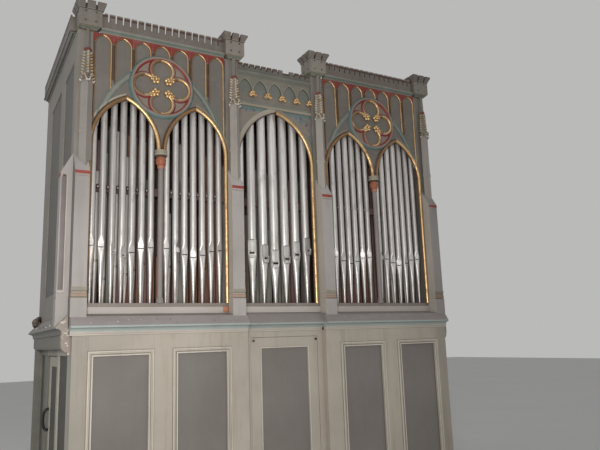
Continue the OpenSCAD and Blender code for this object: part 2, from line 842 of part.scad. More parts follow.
// Upper part of a pier: a shaft set cornerwise with gablets, a spire and a finial
module pinnacle() {
    h = shaft_w / 2;
    z = gablet_z;
    core = 15;
    difference() {
        translate([0, pinnacle_y, 0]) rotate(45) {
            squared([[h, pier_front_z], [h, ring_z], [h + 5, ring_z + 8],
                [h + 5, ring_z + ring_h - 8], [h, ring_z + ring_h], [h, z + gable_h / 2],
                [h - 6, z + gable_h * 0.75], [core + 10, z + gable_h + 10], [core, collar_z],
                [core + 9, collar_z + 4], [core + 9, collar_z + 22], [core, collar_z + 28],
                [core - 3, cornice_z - 2]]);
            for (a = [0, -90]) rotate(a) upright(-h - 8, -h + 2)
                polygon([[-h - 3, z], [0, z + gable_h], [h + 3, z], [h - 8, z],
                    [0, z + gable_h - 20], [-h + 8, z]]);
        }
        block([-2 * h, 0, sill_z], [2 * h, 4 * h, turret_top_z]);
        run_x(-2 * h, 2 * h, [[front_y, pier_front_z - 10], [front_y, pier_front_z],
            [0, pier_front_z + pier_rise], [0, pier_front_z - 10]]);
    }
}

module pinnacles() {
    color(grey) for (x = shaft_xs) translate([x, 0, 0]) pinnacle();
}

// Battlemented turrets over the piers
module turrets() {
    h = turret_w / 2;
    z = turret_body_z;
    slot = 18;
    color(grey) for (x = turret_xs)
        translate([x, turret_y0 + h, 0]) difference() {
            squared([[h - 38, cornice_z], [h, cornice_z + turret_foot_h], [h, z - 5],
                [h + 6, z + 1], [h + 6, z + 10], [h + crown_out, turret_top_z - 16],
                [h + crown_out, turret_top_z]]);
            translate([-h + 4, -h + 4, z - 12]) cube([2 * h - 8, 2 * h - 8, 200]);
            for (a = [0, 90]) rotate(a) for (side = [-1, 1])
                translate([-slot / 2 + side * 44, -2 * h, z]) cube([slot, 4 * h, 200]);
        }
}

// Cornices under the crestings, with a return at the rear of each side
module cornices() {
    z = cornice_z;
    h = cornice_h;
    gap_x = turret_w / 2;
    front = [[board, z], [0, z], [-6, z + 4], [-6, z + 12], [-26, z + 22], [-cornice_out, z + 28],
        [-cornice_out, z + h], [board, z + h]];
    out = side_cornice_out;
    x0 = upper_side_x;
    side = [[x0 - board, z], [x0, z], [x0 + 8, z + 4], [x0 + 8, z + 12], [x0 + out - 10, z + 24],
        [x0 + out, z + 28], [x0 + out, z + h], [x0 - board, z + h]];
    mz = middle_cornice_z;
    mh = middle_cornice_h;
    color(grey) {
        for (i = [0, 2]) run_x(turret_xs[i] + gap_x, turret_xs[i + 1] - gap_x, front);
        both_sides() run_y(turret_y0 + turret_w, case_depth, side);
        run_x(-middle_half, middle_half, [[board, mz], [board - 8, mz], [board - 10, mz + 6],
            [2, mz + 20], [-6, mz + 26], [-6, mz + mh - 8], [2, mz + mh], [board, mz + mh]]);
    }
}

module crest_run(len, height, pitch) {
    n = max(1, round(len / pitch));
    step = len / n;
    deep = min(slot_depth, height * 0.65);
    difference() {
        cube([len, crest_t, height]);
        for (i = [1 : n - 1]) translate([i * step - slot_w / 2, -1, height - deep])
            cube([slot_w, crest_t + 2, deep + 1]);
    }
}

// Crestings over the cornices; one merlon of the middle run is lost
module crestings() {
    z0 = cornice_z + cornice_h;
    gap_x = turret_w / 2;
    side_y0 = turret_y0 + turret_w;
    mz0 = middle_cornice_z + middle_cornice_h;
    lost = [98, 161];
    color(grey) {
        difference() {
            union() {
                for (i = [0, 2]) translate([turret_xs[i] + gap_x, -20, z0])
                    crest_run(turret_xs[i + 1] - turret_xs[i] - turret_w, crest_h, merlon_pitch);
                both_sides() translate([upper_side_x + side_cornice_out - 8, side_y0, z0])
                    rotate(90) crest_run(case_depth - side_y0, crest_h, merlon_pitch);
            }
            for (x = turret_xs)
                block([x - gap_x - crown_out - seat, turret_y0 - crown_out, turret_body_z - 6],
                    [x + gap_x + crown_out + seat, side_y0 + crown_out + seat, 2 * z0]);
        }
        difference() {
            translate([-middle_half, 0, mz0])
                crest_run(2 * middle_half, middle_crest_h, merlon_pitch);
            block([lost[0], -1, mz0 + middle_crest_h * 0.36],
                [lost[1], crest_t + 1, mz0 + middle_crest_h + 1]);
        }
    }
}

// Upper side walls with two tall sunk panels
upper_near = [130, 640];
upper_far = [860, case_depth - 380];
upper_panel_z = [2100, 4110];
upper_sink = 12;
module upper_side() {
    color(grey) difference() {
        block([upper_side_x - board, board, weathering_top_z], [upper_side_x, back_y, cornice_z]);
        for (span = [upper_near, upper_far])
            block([upper_side_x - upper_sink, span[0], upper_panel_z[0]],
                [upper_side_x + 1, span[1], upper_panel_z[1]]);
    }
}

module upper_sides() {
    both_sides() upper_side();
}

module upper_back() {
    color(chest_brown)
        block([-upper_side_x, back_y, weathering_top_z], [upper_side_x, case_depth, cornice_z]);
}

module roof() {
    t = 20;
    color(chest_brown)
        block([-upper_side_x + board, board + middle_setback, cornice_z - t],
            [upper_side_x - board, back_y, cornice_z]);
}

// PIPES

// One metal pipe: toe, conical foot, mouth and body. The upper lip is pressed flat,
// pointed when lean is set and square otherwise, and eared pipes have a boxed mouth.
module metal_pipe(d, foot_h, top_h, lip_h, turn, lean, eared) {
    r = d / 2;
    mouth_h = 0.26 * d;
    flat = 0.34 * r;
    z = foot_h + mouth_h;
    slot = 1.3 * r;
    rotate(turn) {
        difference() {
            rotate_extrude() polygon([[0, 0], [toe_r, 0], [toe_r + 1, 8], [r, foot_h],
                [r, top_h], [0, top_h]]);
            run_x(-r, r, [[-r - 1, foot_h - 0.5 * foot_h], [-r + flat, foot_h * 0.5],
                [-r + flat, z], [lean ? -r : -r + flat, z + lip_h], [-r - 1, z + lip_h]]);
            translate([-slot / 2, -r, foot_h]) cube([slot, r * 0.75, mouth_h]);
        }
        if (eared) {
            for (side = [-1, 1]) translate([side * (slot / 2 + 2) - 2, -r - ear_out, foot_h - 12])
                cube([4, ear_out + r * 0.6, mouth_h + 24]);
            translate([-slot / 2 - 2, -r - ear_out, foot_h - 34])
                cube([slot + 4, ear_out + flat + 3, 24]);
        }
    }
}

toe_r = 8;
inner_pipe_h = 1100;
ear_out = 10;
hook_d = 14;
side_steps = [0, 26, 64, 75];
middle_steps = [0, 48, 96, 142];

// A row of pipes with its mouths in a V; turns gives the way that each mouth looks
module pipe_row(turns, pitch, d, thin, mouth, steps, top_h, lip_h, lean, eared) {
    mid = (len(turns) - 1) / 2;
    for (i = [0 : len(turns) - 1]) {
        k = abs(i - mid);
        translate([(i - mid) * pitch, 0, sill_z])
            metal_pipe(d - thin * k, mouth + steps[k], top_h, lip_h, turns[i], lean, eared);
    }
}

module side_pipes(x_mid, turns_a, turns_b) {
    y = board + pipe_gap + side_pipe_d / 2;
    pitch = (2 * lancet_half - 4) / pipes_per_lancet;
    top_h = apex_z + 120 - sill_z;
    color(tin) {
        translate([x_mid - lancet_dx, y, 0]) pipe_row(turns_a, pitch, side_pipe_d, 2,
            side_mouth_h, side_steps, top_h, side_lip_h, true, false);
        translate([x_mid + lancet_dx, y, 0]) pipe_row(turns_b, pitch, side_pipe_d, 2,
            side_mouth_h, side_steps, top_h, side_lip_h, true, false);
    }
}

module pipes_left() {
    side_pipes(-bay_mid_x, [-14, -16, 40, 34, 4, -14, 0], [-4, 55, 0, -14, -4, 8, 6]);
}

module pipes_right() {
    side_pipes(bay_mid_x, [-20, -36, -8, 22, 0, -34, -30], [30, -10, -24, -36, 10, -20, -30]);
}

module pipes_middle() {
    y = board + middle_setback + pipe_gap + ear_out + middle_pipe_d / 2;
    top_h = middle_apex_z + 60 - sill_z;
    color(tin) translate([0, y, 0])
        pipe_row([-60, -27, 12, -12, 0, -8, 12], middle_pitch, middle_pipe_d, 3,
            middle_mouth_h, middle_steps, top_h, middle_lip_h, false, true);
}

module pipe_rails() {
    y = board + pipe_gap + side_pipe_d + seat;
    ym = board + middle_setback + pipe_gap + ear_out + middle_pipe_d + seat;
    pitch = (2 * lancet_half - 4) / pipes_per_lancet;
    color(chest_brown) {
        both_sides() {
            block([bay_in_x - 20, y, rail_z], [bay_out_x + 20, y + rail_t, rail_z + rail_h]);
            for (side = [-1, 1]) for (i = [-2.5 : 1 : 2.5])
                translate([bay_mid_x + side * lancet_dx + i * pitch, y + 1, rail_z + rail_h / 2])
                    rotate([90, 0, 0]) cylinder(h = side_pipe_d * 0.8, d = hook_d);
        }
        block([-middle_half, ym, rail_z], [middle_half, ym + rail_t, rail_z + rail_h]);
    }
}

// Wooden pipes on the chest, seen between the display pipes
module inner_pipes() {
    n = 22;
    edge = 100;
    w = 70;
    step = 2 * (chest_half - edge) / n;
    color(chest_brown) for (i = [0 : n])
        translate([-chest_half + edge + i * step - w / 2, chest_y0 + edge, sill_z])
            cube([w, w + 10, inner_pipe_h * (1 + 0.27 * abs(sin(i * 55)))]);
}

plinth_front();
plinth_rear();
lower_stiles();
lower_rails();
lower_panels();
panel_mouldings();
access_panel();
access_knobs();
lower_side_front();
lower_side_rear();
doorway_rails();
lower_side_right();
side_door();
door_handle();
door_hinges();
door_knuckles();
lower_back();
deck();
impost_front();
impost_sides();
sill_boards();
toe_boards();
wind_chest();
facade_stiles();
side_heads();
head_middle();
colonnettes();
arch_rolls();
great_arches();
wheel_lobes();
blind_lancets();
red_fields();
frieze();
gold_buds();
front_piers();
side_piers();
pier_bands();
pinnacles();
turrets();
cornices();
crestings();
upper_sides();
upper_back();
roof();
pipes_left();
pipes_middle();
pipes_right();
pipe_rails();
inner_pipes();
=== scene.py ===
import math
import random

import bmesh
import bpy
from mathutils import Euler, Matrix, Quaternion, Vector


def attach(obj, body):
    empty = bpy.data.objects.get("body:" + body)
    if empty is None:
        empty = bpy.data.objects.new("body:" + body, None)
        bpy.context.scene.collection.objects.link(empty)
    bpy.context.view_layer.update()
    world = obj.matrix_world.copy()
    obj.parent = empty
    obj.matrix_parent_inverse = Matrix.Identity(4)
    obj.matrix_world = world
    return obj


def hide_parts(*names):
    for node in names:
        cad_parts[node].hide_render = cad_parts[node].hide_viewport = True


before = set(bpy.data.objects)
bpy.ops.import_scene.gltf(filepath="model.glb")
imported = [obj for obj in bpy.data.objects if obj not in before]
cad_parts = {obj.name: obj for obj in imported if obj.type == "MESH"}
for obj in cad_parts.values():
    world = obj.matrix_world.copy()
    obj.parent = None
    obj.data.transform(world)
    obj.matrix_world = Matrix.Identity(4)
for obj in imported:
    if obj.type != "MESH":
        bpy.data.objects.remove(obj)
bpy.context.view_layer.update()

# Pipe organ: painted timber case, gilded tracery and metal display pipes.
# Metres, in the frame of the CAD: X right along the facade, Y into the case, Z up.

luck = random.Random(21)
CASE = "case"
DOOR = "side_door_leaf"

# ---------------------------------------------------------------- dimensions
# Piers with their shafts and turrets, and the planes of the front
PIER_XS = (-1.885, -0.491, 0.491, 1.885)
SHAFT_XS = (-1.861, -0.476, 0.491, 1.907)
TURRET_XS = (-1.847, -0.471, 0.486, 1.895)
PIER_FRONT_Z = 3.050
COLLAR_Z = 4.152
PINNACLE_Y = -0.040
TURRET_Y = 0.034
FRONT_Y = -0.123
MIDDLE_FRONT_Y = -0.050
BOARD = 0.028
UPPER_SIDE_X = 1.9435
LOWER_SIDE_X = 1.925
DOOR_FACE_X = -1.903
# Side bays: two lancets, and a great arch with its wheel
BAY_MID_X = 1.1875
BAY_IN_X = 0.5615
BAY_OUT_X = 1.8135
LANCET_DX = 0.326
LANCET_HALF = 0.300
LANCET_R = 0.486
SILL_Z = 1.958
SPRING_Z = 3.336
APEX_Z = 3.785
GREAT_HALF = 0.620
GREAT_R = 0.9474
WHEEL_Z = 3.946
WHEEL_R = 0.290
LOBE_R = 0.104
LOBE_OUT = 0.160
BLIND_HALF = 0.0669
BLIND_R = 0.08619
BLIND_SPRING_Z = 4.261
BLIND_PITCH = (BAY_OUT_X - BAY_IN_X) / 7
LANCETS = [(side, bay * BAY_MID_X + side * LANCET_DX) for bay in (-1, 1) for side in (-1, 1)]
# Middle bay
MIDDLE_HALF = 0.4205
MIDDLE_R = 0.5765
MIDDLE_SPRING_Z = 3.350
FRIEZE_PITCH = 0.1682
# Cresting and pipes
CREST_TOP_Z = 4.556
MERLON_PITCH = 0.066
MERLON_GAP = 0.018
SIDE_PITCH = 0.5960 / 7
MIDDLE_PITCH = 0.121
HOOK_Z = 2.965
# Which way the grain of a painted board runs
GRAIN_X = (0.7, 9, 9)
GRAIN_Y = (9, 0.7, 9)
GRAIN_Z = (9, 9, 0.7)


# ----------------------------------------------------------------- materials
def tint(colour, part=1):
    """A colour read as 0 to 255, or a part of it, as Blender's linear values."""
    shares = [int(c * part) / 255 for c in colour]
    return tuple(c / 12.92 if c <= 0.04045 else ((c + 0.055) / 1.055) ** 2.4
                 for c in shares) + (1.0,)


def put(tree, kind, inputs, **settings):
    """Adds a node; an input is given a socket to link or a value to set."""
    n = tree.nodes.new(kind)
    for key, value in settings.items():
        setattr(n, key, value)
    for key, value in inputs.items():
        if isinstance(value, bpy.types.NodeSocket):
            tree.links.new(value, n.inputs[key])
        else:
            n.inputs[key].default_value = value
    return n


def material(name):
    """A new material: itself, its node tree, its skin and the place on the object."""
    mat = bpy.data.materials.new(name)
    mat.use_nodes = True
    tree = mat.node_tree
    tree.nodes.clear()
    out = tree.nodes.new("ShaderNodeOutputMaterial")
    skin = tree.nodes.new("ShaderNodeBsdfPrincipled")
    tree.links.new(skin.outputs[0], out.inputs[0])
    return mat, tree, skin, put(tree, "ShaderNodeTexCoord", {}).outputs["Object"]


def noise(tree, place, scale, detail=4.0, rough=0.55, stretch=(1, 1, 1), shift=(0, 0, 0)):
    m = put(tree, "ShaderNodeMapping", {"Vector": place, "Scale": stretch, "Location": shift})
    return put(tree, "ShaderNodeTexNoise", {"Vector": m.outputs[0], "Scale": scale,
               "Detail": detail, "Roughness": rough}).outputs[0]


def ramp(tree, fac, low, high, least=0.0, most=1.0):
    """The least below low, the most above high."""
    return put(tree, "ShaderNodeMapRange", {"Value": fac, "From Min": low, "From Max": high,
               "To Min": least, "To Max": most}).outputs[0]


def sums(tree, operation, a, b):
    return put(tree, "ShaderNodeMath", {0: a, 1: b}, operation=operation).outputs[0]


def times(tree, a, b):
    return sums(tree, "MULTIPLY", a, b)


def coord(tree, place, axis):
    return put(tree, "ShaderNodeSeparateXYZ", {0: place}).outputs[axis]


def blend(tree, fac, a, b, mode="MIX"):
    return put(tree, "ShaderNodeMix", {0: fac, 6: a, 7: b}, data_type="RGBA",
               blend_type=mode).outputs[2]


def over(tree, tone, mask, share, colour, part=1):
    """Lays a colour, or a part of it, over a tone: a share of it where the mask is full."""
    return blend(tree, times(tree, mask, share), tone, tint(colour, part))


def dimmed(tree, tone, light):
    """A tone times a light of red, green and blue."""
    return blend(tree, 1.0, tone, (*light, 1), "MULTIPLY")


def corner_dirt_and_shade(tree, reach):
    """1 in a corner, 0 in the open: an occlusion mask for the dirt that gathers there and for
    painted shade.
    """
    open_air = put(tree, "ShaderNodeAmbientOcclusion", {"Distance": reach}, samples=4)
    return ramp(tree, open_air.outputs["AO"], 0.85, 0.25)


def arrises(tree, radius):
    """1 along an outer edge, for the paint worn off there and a painted highlight."""
    soft = put(tree, "ShaderNodeBevel", {"Radius": radius}, samples=4)
    plain = put(tree, "ShaderNodeNewGeometry", {})
    dot = put(tree, "ShaderNodeVectorMath", {0: soft.outputs[0], 1: plain.outputs["Normal"]},
              operation="DOT_PRODUCT").outputs["Value"]
    return ramp(tree, dot, 0.97, 0.80)


def stripes(tree, place, levels, first):
    """Bands of colour by height: first below the first level, then one colour a level."""
    z = coord(tree, place, "Z")
    tone = tint(first)
    for level, colour in levels:
        tone = blend(tree, sums(tree, "GREATER_THAN", z, level), tone, tint(colour))
    return tone


def painted_shade_along_x(tree, place, tone, shade_along_x):
    """Painted shade along X: dims a tone; each entry holds (X where it starts, X where it is full,
    light kept).
    """
    for start, full, light in shade_along_x:
        tone = blend(tree, ramp(tree, coord(tree, place, "X"), start, full), tone,
                     dimmed(tree, tone, (light, light, light)))
    return tone


def dress(tree, skin, tone, rough, height, strength, deep):
    """Links a skin's colour, its roughness, and its relief of a strength and a depth."""
    relief = put(tree, "ShaderNodeBump", {"Height": height, "Strength": strength,
                                          "Distance": deep}).outputs[0]
    for value, socket in ((tone, "Base Color"), (rough, "Roughness"), (relief, "Normal")):
        tree.links.new(value, skin.inputs[socket])


def painted(name, colour, levels=(), chips=0.3, grime_and_shade=0.45, streak=0.3, rough=0.6,
            under=(118, 96, 72), dirt_and_shade=(70, 62, 52), worn_edge_and_highlight=0.35, grain=GRAIN_Z,
            bloom=0.10, shade_along_x=()):
    """Old oil paint on timber: cloudy tone, brush grain, dirty runs, chips to the wood; darker
    corners that are dirt and painted shade, and paler edges that are wear and a painted highlight.
    """
    mat, tree, skin, place = material(name)
    cloud = noise(tree, place, 1.3, 5)
    patch = noise(tree, place, 6.5, 6, 0.6, shift=(3, 1, 7))
    runs = noise(tree, place, 2.2, 5, 0.6, stretch=grain)
    brush = noise(tree, place, 34, 4, 0.6, stretch=(grain[0] / 9 + 0.3, 1.3, grain[2]))
    tone = stripes(tree, place, levels, colour)
    tone = blend(tree, ramp(tree, cloud, 0.36, 0.66), tone,
                 dimmed(tree, tone, (0.84, 0.83, 0.82)))
    tone = blend(tree, times(tree, ramp(tree, patch, 0.50, 0.78), bloom), tone,
                 (0.62, 0.60, 0.58, 1))
    tone = over(tree, tone, ramp(tree, runs, 0.50, 0.78), streak, dirt_and_shade)
    # Darker in corners, by occlusion: dirt and painted shade.
    nook_dirt_and_shade = times(tree, corner_dirt_and_shade(tree, 0.05), sums(tree, "ADD", 0.35, patch))
    tone = over(tree, tone, nook_dirt_and_shade, grime_and_shade, dirt_and_shade)
    # Paler along outer edges: rubbed paint and a painted highlight.
    edge = times(tree, arrises(tree, 0.006), ramp(tree, patch, 0.45, 0.62))
    tone = over(tree, tone, edge, worn_edge_and_highlight, (205, 196, 182))
    # Darker towards the case's ends where an X range is given: painted shade.
    tone = painted_shade_along_x(tree, place, tone, shade_along_x)
    flake = noise(tree, place, 17, 7, 0.68, shift=(9, 2, 4))
    bare = ramp(tree, flake, 0.80 - 0.22 * chips, 0.815 - 0.22 * chips)
    tone = blend(tree, bare, tone, tint(under))
    relief = sums(tree, "ADD", times(tree, brush, 0.6), times(tree, bare, -0.9))
    dress(tree, skin, tone, ramp(tree, patch, 0.0, 1.0, rough - 0.12, rough + 0.16),
          relief, 0.35, 0.0015)
    return mat


def gilded(name, bright=(238, 200, 146), worn=(136, 98, 60), metal=0.86):
    """Bronze gilding over a brown ground, rubbed through in patches."""
    mat, tree, skin, place = material(name)
    rub = noise(tree, place, 14, 6, 0.65)
    fine = noise(tree, place, 90, 3, 0.6)
    bare = ramp(tree, rub, 0.50, 0.68)
    tone = blend(tree, ramp(tree, fine, 0.3, 0.7), tint(bright), tint(bright, 0.86))
    tone = over(tree, tone, bare, 0.75, worn)
    # Dark brown in corners, by occlusion: painted shade on the gilding.
    tone = over(tree, tone, corner_dirt_and_shade(tree, 0.03), 0.8, (84, 56, 32))
    tree.links.new(times(tree, sums(tree, "SUBTRACT", 1.0, bare), metal),
                   skin.inputs["Metallic"])
    dress(tree, skin, tone, ramp(tree, rub, 0.0, 1.0, 0.30, 0.50), fine, 0.25, 0.001)
    return mat


def pipe_metal(name, bright=(226, 223, 219), dull=(184, 180, 176), rough=0.34, metal=0.50,
               shade_along_x=()):
    """Rolled tin-lead sheet: long drawn streaks, dull bloom and dusty stains."""
    mat, tree, skin, place = material(name)
    drawn = noise(tree, place, 11, 4, 0.6, stretch=(5, 5, 0.16))
    each = noise(tree, place, 7, 2, 0.5, stretch=(2.2, 0.3, 0.05), shift=(5, 0, 2))
    bloom = noise(tree, place, 9, 6, 0.65, stretch=(1, 1, 0.4))
    speck = noise(tree, place, 120, 3, 0.6)
    tone = blend(tree, ramp(tree, drawn, 0.35, 0.70), tint(bright), tint(dull))
    tone = over(tree, tone, ramp(tree, each, 0.42, 0.62), 0.35, (160, 152, 152))
    tone = over(tree, tone, ramp(tree, bloom, 0.55, 0.72), 0.45, (112, 106, 102))
    # Dark in corners, by occlusion: painted shade on the metal.
    tone = over(tree, tone, corner_dirt_and_shade(tree, 0.02), 0.5, (52, 48, 45))
    # Darker along X where a range is given: painted shade.
    tone = painted_shade_along_x(tree, place, tone, shade_along_x)
    skin.inputs["Metallic"].default_value = metal
    dress(tree, skin, tone, ramp(tree, bloom, 0.3, 0.7, rough - 0.06, rough + 0.2),
          sums(tree, "ADD", drawn, speck), 0.12, 0.001)
    return mat


def timber(name, colour, dark, stretches=(), joint=0.0, shade_along_x=()):
    """Bare timber: long grain, knots of tone, dust; stretches hold (X, colour from there on).

    joint is the width of upright boards, told apart by their tone and a dark line.
    """
    mat, tree, skin, place = material(name)
    warp = noise(tree, place, 3, 3, stretch=(1, 1, 0.3))
    grain = noise(tree, place, 22, 6, 0.7, stretch=(4, 4, 0.22))
    lines = ramp(tree, grain, 0.35, 0.68)
    tone = blend(tree, lines, tint(colour), tint(dark))
    x = coord(tree, place, "X")
    for start, shade in stretches:
        tone = blend(tree, ramp(tree, x, start - 0.05, start + 0.05), tone,
                     blend(tree, lines, tint(shade), tint(shade, 0.75)))
    if joint:
        run = sums(tree, "DIVIDE", x, joint)
        each = put(tree, "ShaderNodeTexWhiteNoise", {"W": sums(tree, "FLOOR", run, 0.0)},
                   noise_dimensions="1D").outputs["Value"]
        tone = blend(tree, each, tone, dimmed(tree, tone, (0.72, 0.70, 0.68)))
        seam = sums(tree, "LESS_THAN", sums(tree, "FRACT", run, 0.0), 0.022)
        tone = blend(tree, seam, tone, tint((34, 26, 20)))
    tone = over(tree, tone, ramp(tree, warp, 0.4, 0.7), 0.5, dark, 0.7)
    # Near black in corners and the gaps between boards, by occlusion: painted shade.
    tone = over(tree, tone, corner_dirt_and_shade(tree, 0.08), 0.6, (30, 24, 20))
    # Darker along X where a range is given: painted shade.
    tone = painted_shade_along_x(tree, place, tone, shade_along_x)
    dress(tree, skin, tone, ramp(tree, grain, 0.0, 1.0, 0.65, 0.90), grain, 0.4, 0.001)
    return mat


# Materials given an X range that dims them are darker towards the case's ends: painted shade.
cream = painted("cream_paint", (180, 172, 159), chips=0.22, streak=0.34,
                dirt_and_shade=(132, 114, 92), under=(128, 112, 88),
                shade_along_x=[(-1.30, -1.90, 0.74), (1.72, 1.84, 0.76)])
moulding_cream = painted("moulding_cream", (190, 182, 168), chips=0.25, grime_and_shade=0.7,
                         dirt_and_shade=(98, 90, 76))
panel_paint = painted("panel_grey", (125, 119, 114), chips=0.10, streak=0.22,
                      dirt_and_shade=(104, 99, 92), under=(176, 170, 160), rough=0.5, bloom=0.03,
                      shade_along_x=[(-1.20, -1.60, 0.86)])
side_cream = painted("side_cream", (140, 136, 125), chips=0.25, streak=0.35, dirt_and_shade=(92, 86, 74),
                     worn_edge_and_highlight=0.7)
side_dim = painted("side_dim", (108, 106, 97), chips=0.25, streak=0.4, dirt_and_shade=(78, 74, 64),
                   worn_edge_and_highlight=0.6)
door_cream = painted("door_cream", (168, 164, 152), chips=0.25, streak=0.35, dirt_and_shade=(96, 90, 78),
                     worn_edge_and_highlight=0.6)
door_panel = painted("door_panel", (68, 65, 59), chips=0.2, streak=0.4, dirt_and_shade=(58, 54, 47))
bracket_cream = painted("bracket_cream", (148, 138, 127), chips=0.95, grime_and_shade=0.7,
                        dirt_and_shade=(112, 100, 90), under=(200, 190, 180))
side_panel = painted("side_panel_paint", (100, 96, 90), chips=0.2, streak=0.4,
                     dirt_and_shade=(76, 71, 62))
upper_grey = painted("upper_grey", (136, 130, 122), chips=0.16, streak=0.35, dirt_and_shade=(96, 90, 80))
field_grey = painted("field_grey", (116, 110, 103), chips=0.12, streak=0.3, dirt_and_shade=(104, 96, 84))
head_grey = painted("head_grey", (138, 130, 120), levels=[(3.884, (106, 128, 124)),
                    (3.923, (128, 122, 112)), (4.060, (116, 119, 110))],
                    chips=0.12, streak=0.3, dirt_and_shade=(98, 94, 86))
pocket_grey = painted("pocket_grey", (136, 126, 114), chips=0.15, dirt_and_shade=(104, 92, 80))
rim_pink = painted("rim_pink", (140, 126, 116), chips=0.15, dirt_and_shade=(104, 90, 82))
# Pier paint darker at the outer piers: painted shade.
pier_grey = painted("pier_grey", (174, 168, 164), levels=[
    (1.994, (124, 116, 98)), (2.005, (172, 148, 126)), (2.019, (160, 134, 112)),
    (2.032, (172, 160, 148)), (2.044, (108, 100, 88)), (2.050, (154, 148, 134)),
    (2.080, (180, 172, 163)), (2.092, (174, 168, 164))], chips=0.16, streak=0.3,
    dirt_and_shade=(128, 118, 108), shade_along_x=[(-1.70, -1.88, 0.80), (1.70, 1.86, 0.74)])
pier_plain = painted("pier_plain", (166, 160, 156), chips=0.2, streak=0.4, dirt_and_shade=(120, 110, 100))
# A lighter copy of the pier paint: painted light on the inner piers' left faces and on the side
# piers' feet and strips.
pier_painted_lit = painted("pier_painted_lit", (194, 186, 176), chips=0.2, streak=0.3, dirt_and_shade=(140, 130, 118))
# A darker copy of the pier paint: painted shade on the outer left pier's left face and down the
# side piers.
pier_shade = painted("pier_shade", (120, 112, 108), chips=0.2, streak=0.4, dirt_and_shade=(88, 80, 74))
# Shaft paint darker at the outer shafts: painted shade.
shaft_grey = painted("shaft_grey", (166, 160, 152), levels=[
    (3.872, (146, 138, 124)), (COLLAR_Z + 0.002, (132, 64, 48)),
    (COLLAR_Z + 0.024, (134, 130, 121))], chips=0.2,
    streak=0.4, dirt_and_shade=(112, 103, 92), shade_along_x=[(-1.70, -1.82, 0.73), (1.70, 1.82, 0.86)])
# Spire paint darker at the outer spires: painted shade.
finial_grey = painted("finial_grey", (198, 184, 164), chips=0.5, grime_and_shade=0.7, dirt_and_shade=(98, 78, 58),
                      under=(138, 98, 60), shade_along_x=[(-1.60, -1.80, 0.75), (1.60, 1.80, 0.80)])
impost_paint = painted("impost_paint", (190, 182, 170), levels=[
    (1.7065, (184, 176, 166)), (1.7225, (160, 170, 166)), (1.7555, (168, 178, 174)),
    (1.7695, (150, 143, 140))], chips=0.34, streak=0.35, dirt_and_shade=(112, 104, 98),
    under=(196, 190, 182), grain=GRAIN_X)
side_impost_paint = painted("side_impost_paint", (118, 116, 106), levels=[
    (1.7225, (124, 124, 118)), (1.7555, (136, 134, 130)), (1.7695, (140, 135, 132))],
    chips=0.45, streak=0.4, dirt_and_shade=(84, 78, 68), under=(150, 132, 112), grain=GRAIN_Y)
sill_cream = painted("sill_cream", (188, 180, 174), chips=0.3, streak=0.25,
                     dirt_and_shade=(128, 118, 106), grain=GRAIN_X)
toe_paint = painted("toe_paint", (140, 130, 122), chips=0.2, streak=0.4, dirt_and_shade=(92, 82, 74),
                    grain=GRAIN_X)
cornice_paint = painted("cornice_paint", (126, 126, 116), levels=[
    (4.2885, (140, 136, 126)), (4.3645, (136, 138, 128)), (4.3705, (130, 132, 122)),
    (4.3830, (108, 130, 122)), (4.3905, (150, 148, 138))],
    chips=0.2, dirt_and_shade=(84, 80, 70), grain=GRAIN_X)
side_cornice = painted("side_cornice", (106, 104, 97), levels=[(4.3690, (146, 146, 138)),
                       (4.3750, (74, 74, 69)), (4.3830, (132, 131, 123)),
                       (4.3890, (78, 77, 71)), (4.3935, (138, 136, 127))],
                       chips=0.3, grime_and_shade=0.6, dirt_and_shade=(70, 66, 60))
crest_paint = painted("crest_paint", (110, 107, 99), levels=[(4.340, (126, 120, 111)),
                      (4.425, (120, 112, 104)), (CREST_TOP_Z - 0.012, (142, 133, 122))],
                      chips=0.25, grime_and_shade=0.7, dirt_and_shade=(70, 58, 50))
# Turret paint darker at the outer turrets: painted shade.
turret_paint = painted("turret_paint", (150, 134, 112), levels=[(4.373, (110, 126, 122)),
                       (4.384, (134, 124, 98)), (4.394, (150, 143, 133)),
                       (4.538, (90, 82, 72)), (4.544, (152, 144, 133)),
                       (4.552, (126, 118, 109))], chips=0.3, grime_and_shade=0.7, dirt_and_shade=(62, 56, 48),
                       shade_along_x=[(-1.60, -1.76, 0.71), (1.60, 1.76, 0.84)])
frieze_edge = painted("frieze_edge", (74, 84, 80), chips=0.1, dirt_and_shade=(62, 66, 60))
frieze_paint = painted("frieze_paint", (146, 138, 122), levels=[(3.924, (164, 154, 136)),
                       (3.946, (126, 134, 124)), (3.966, (162, 152, 134)),
                       (3.980, (130, 126, 113))],
                       chips=0.2, dirt_and_shade=(92, 84, 70), grain=GRAIN_X)
red_paint = painted("red_paint", (150, 60, 50), chips=0.3, streak=0.35, dirt_and_shade=(98, 48, 38),
                    under=(138, 118, 100))
cap_red = painted("cap_red", (88, 60, 52), chips=0.45, grime_and_shade=0.6, dirt_and_shade=(66, 46, 38),
                  under=(146, 128, 112))
dark_red = painted("dark_red_paint", (112, 50, 42), chips=0.3, dirt_and_shade=(70, 36, 30))
orange_red = painted("orange_red_paint", (172, 98, 74), chips=0.3, dirt_and_shade=(104, 58, 44))
abacus_grey = painted("abacus_grey", (164, 156, 138), chips=0.15, dirt_and_shade=(110, 104, 88))
column_grey = painted("column_grey", (142, 134, 130), chips=0.15, streak=0.3, dirt_and_shade=(104, 94, 88))
orange_paint = painted("orange_paint", (184, 124, 98), chips=0.3, dirt_and_shade=(128, 78, 52))
deep_red = painted("deep_red_paint", (138, 52, 46), chips=0.2, streak=0.3, dirt_and_shade=(92, 44, 36),
                   under=(120, 92, 74))
teal_paint = painted("teal_paint", (98, 128, 124), chips=0.25, streak=0.3, dirt_and_shade=(86, 98, 92),
                     under=(128, 122, 110))
arch_grey = painted("arch_grey", (140, 134, 122), chips=0.15, dirt_and_shade=(112, 102, 88))
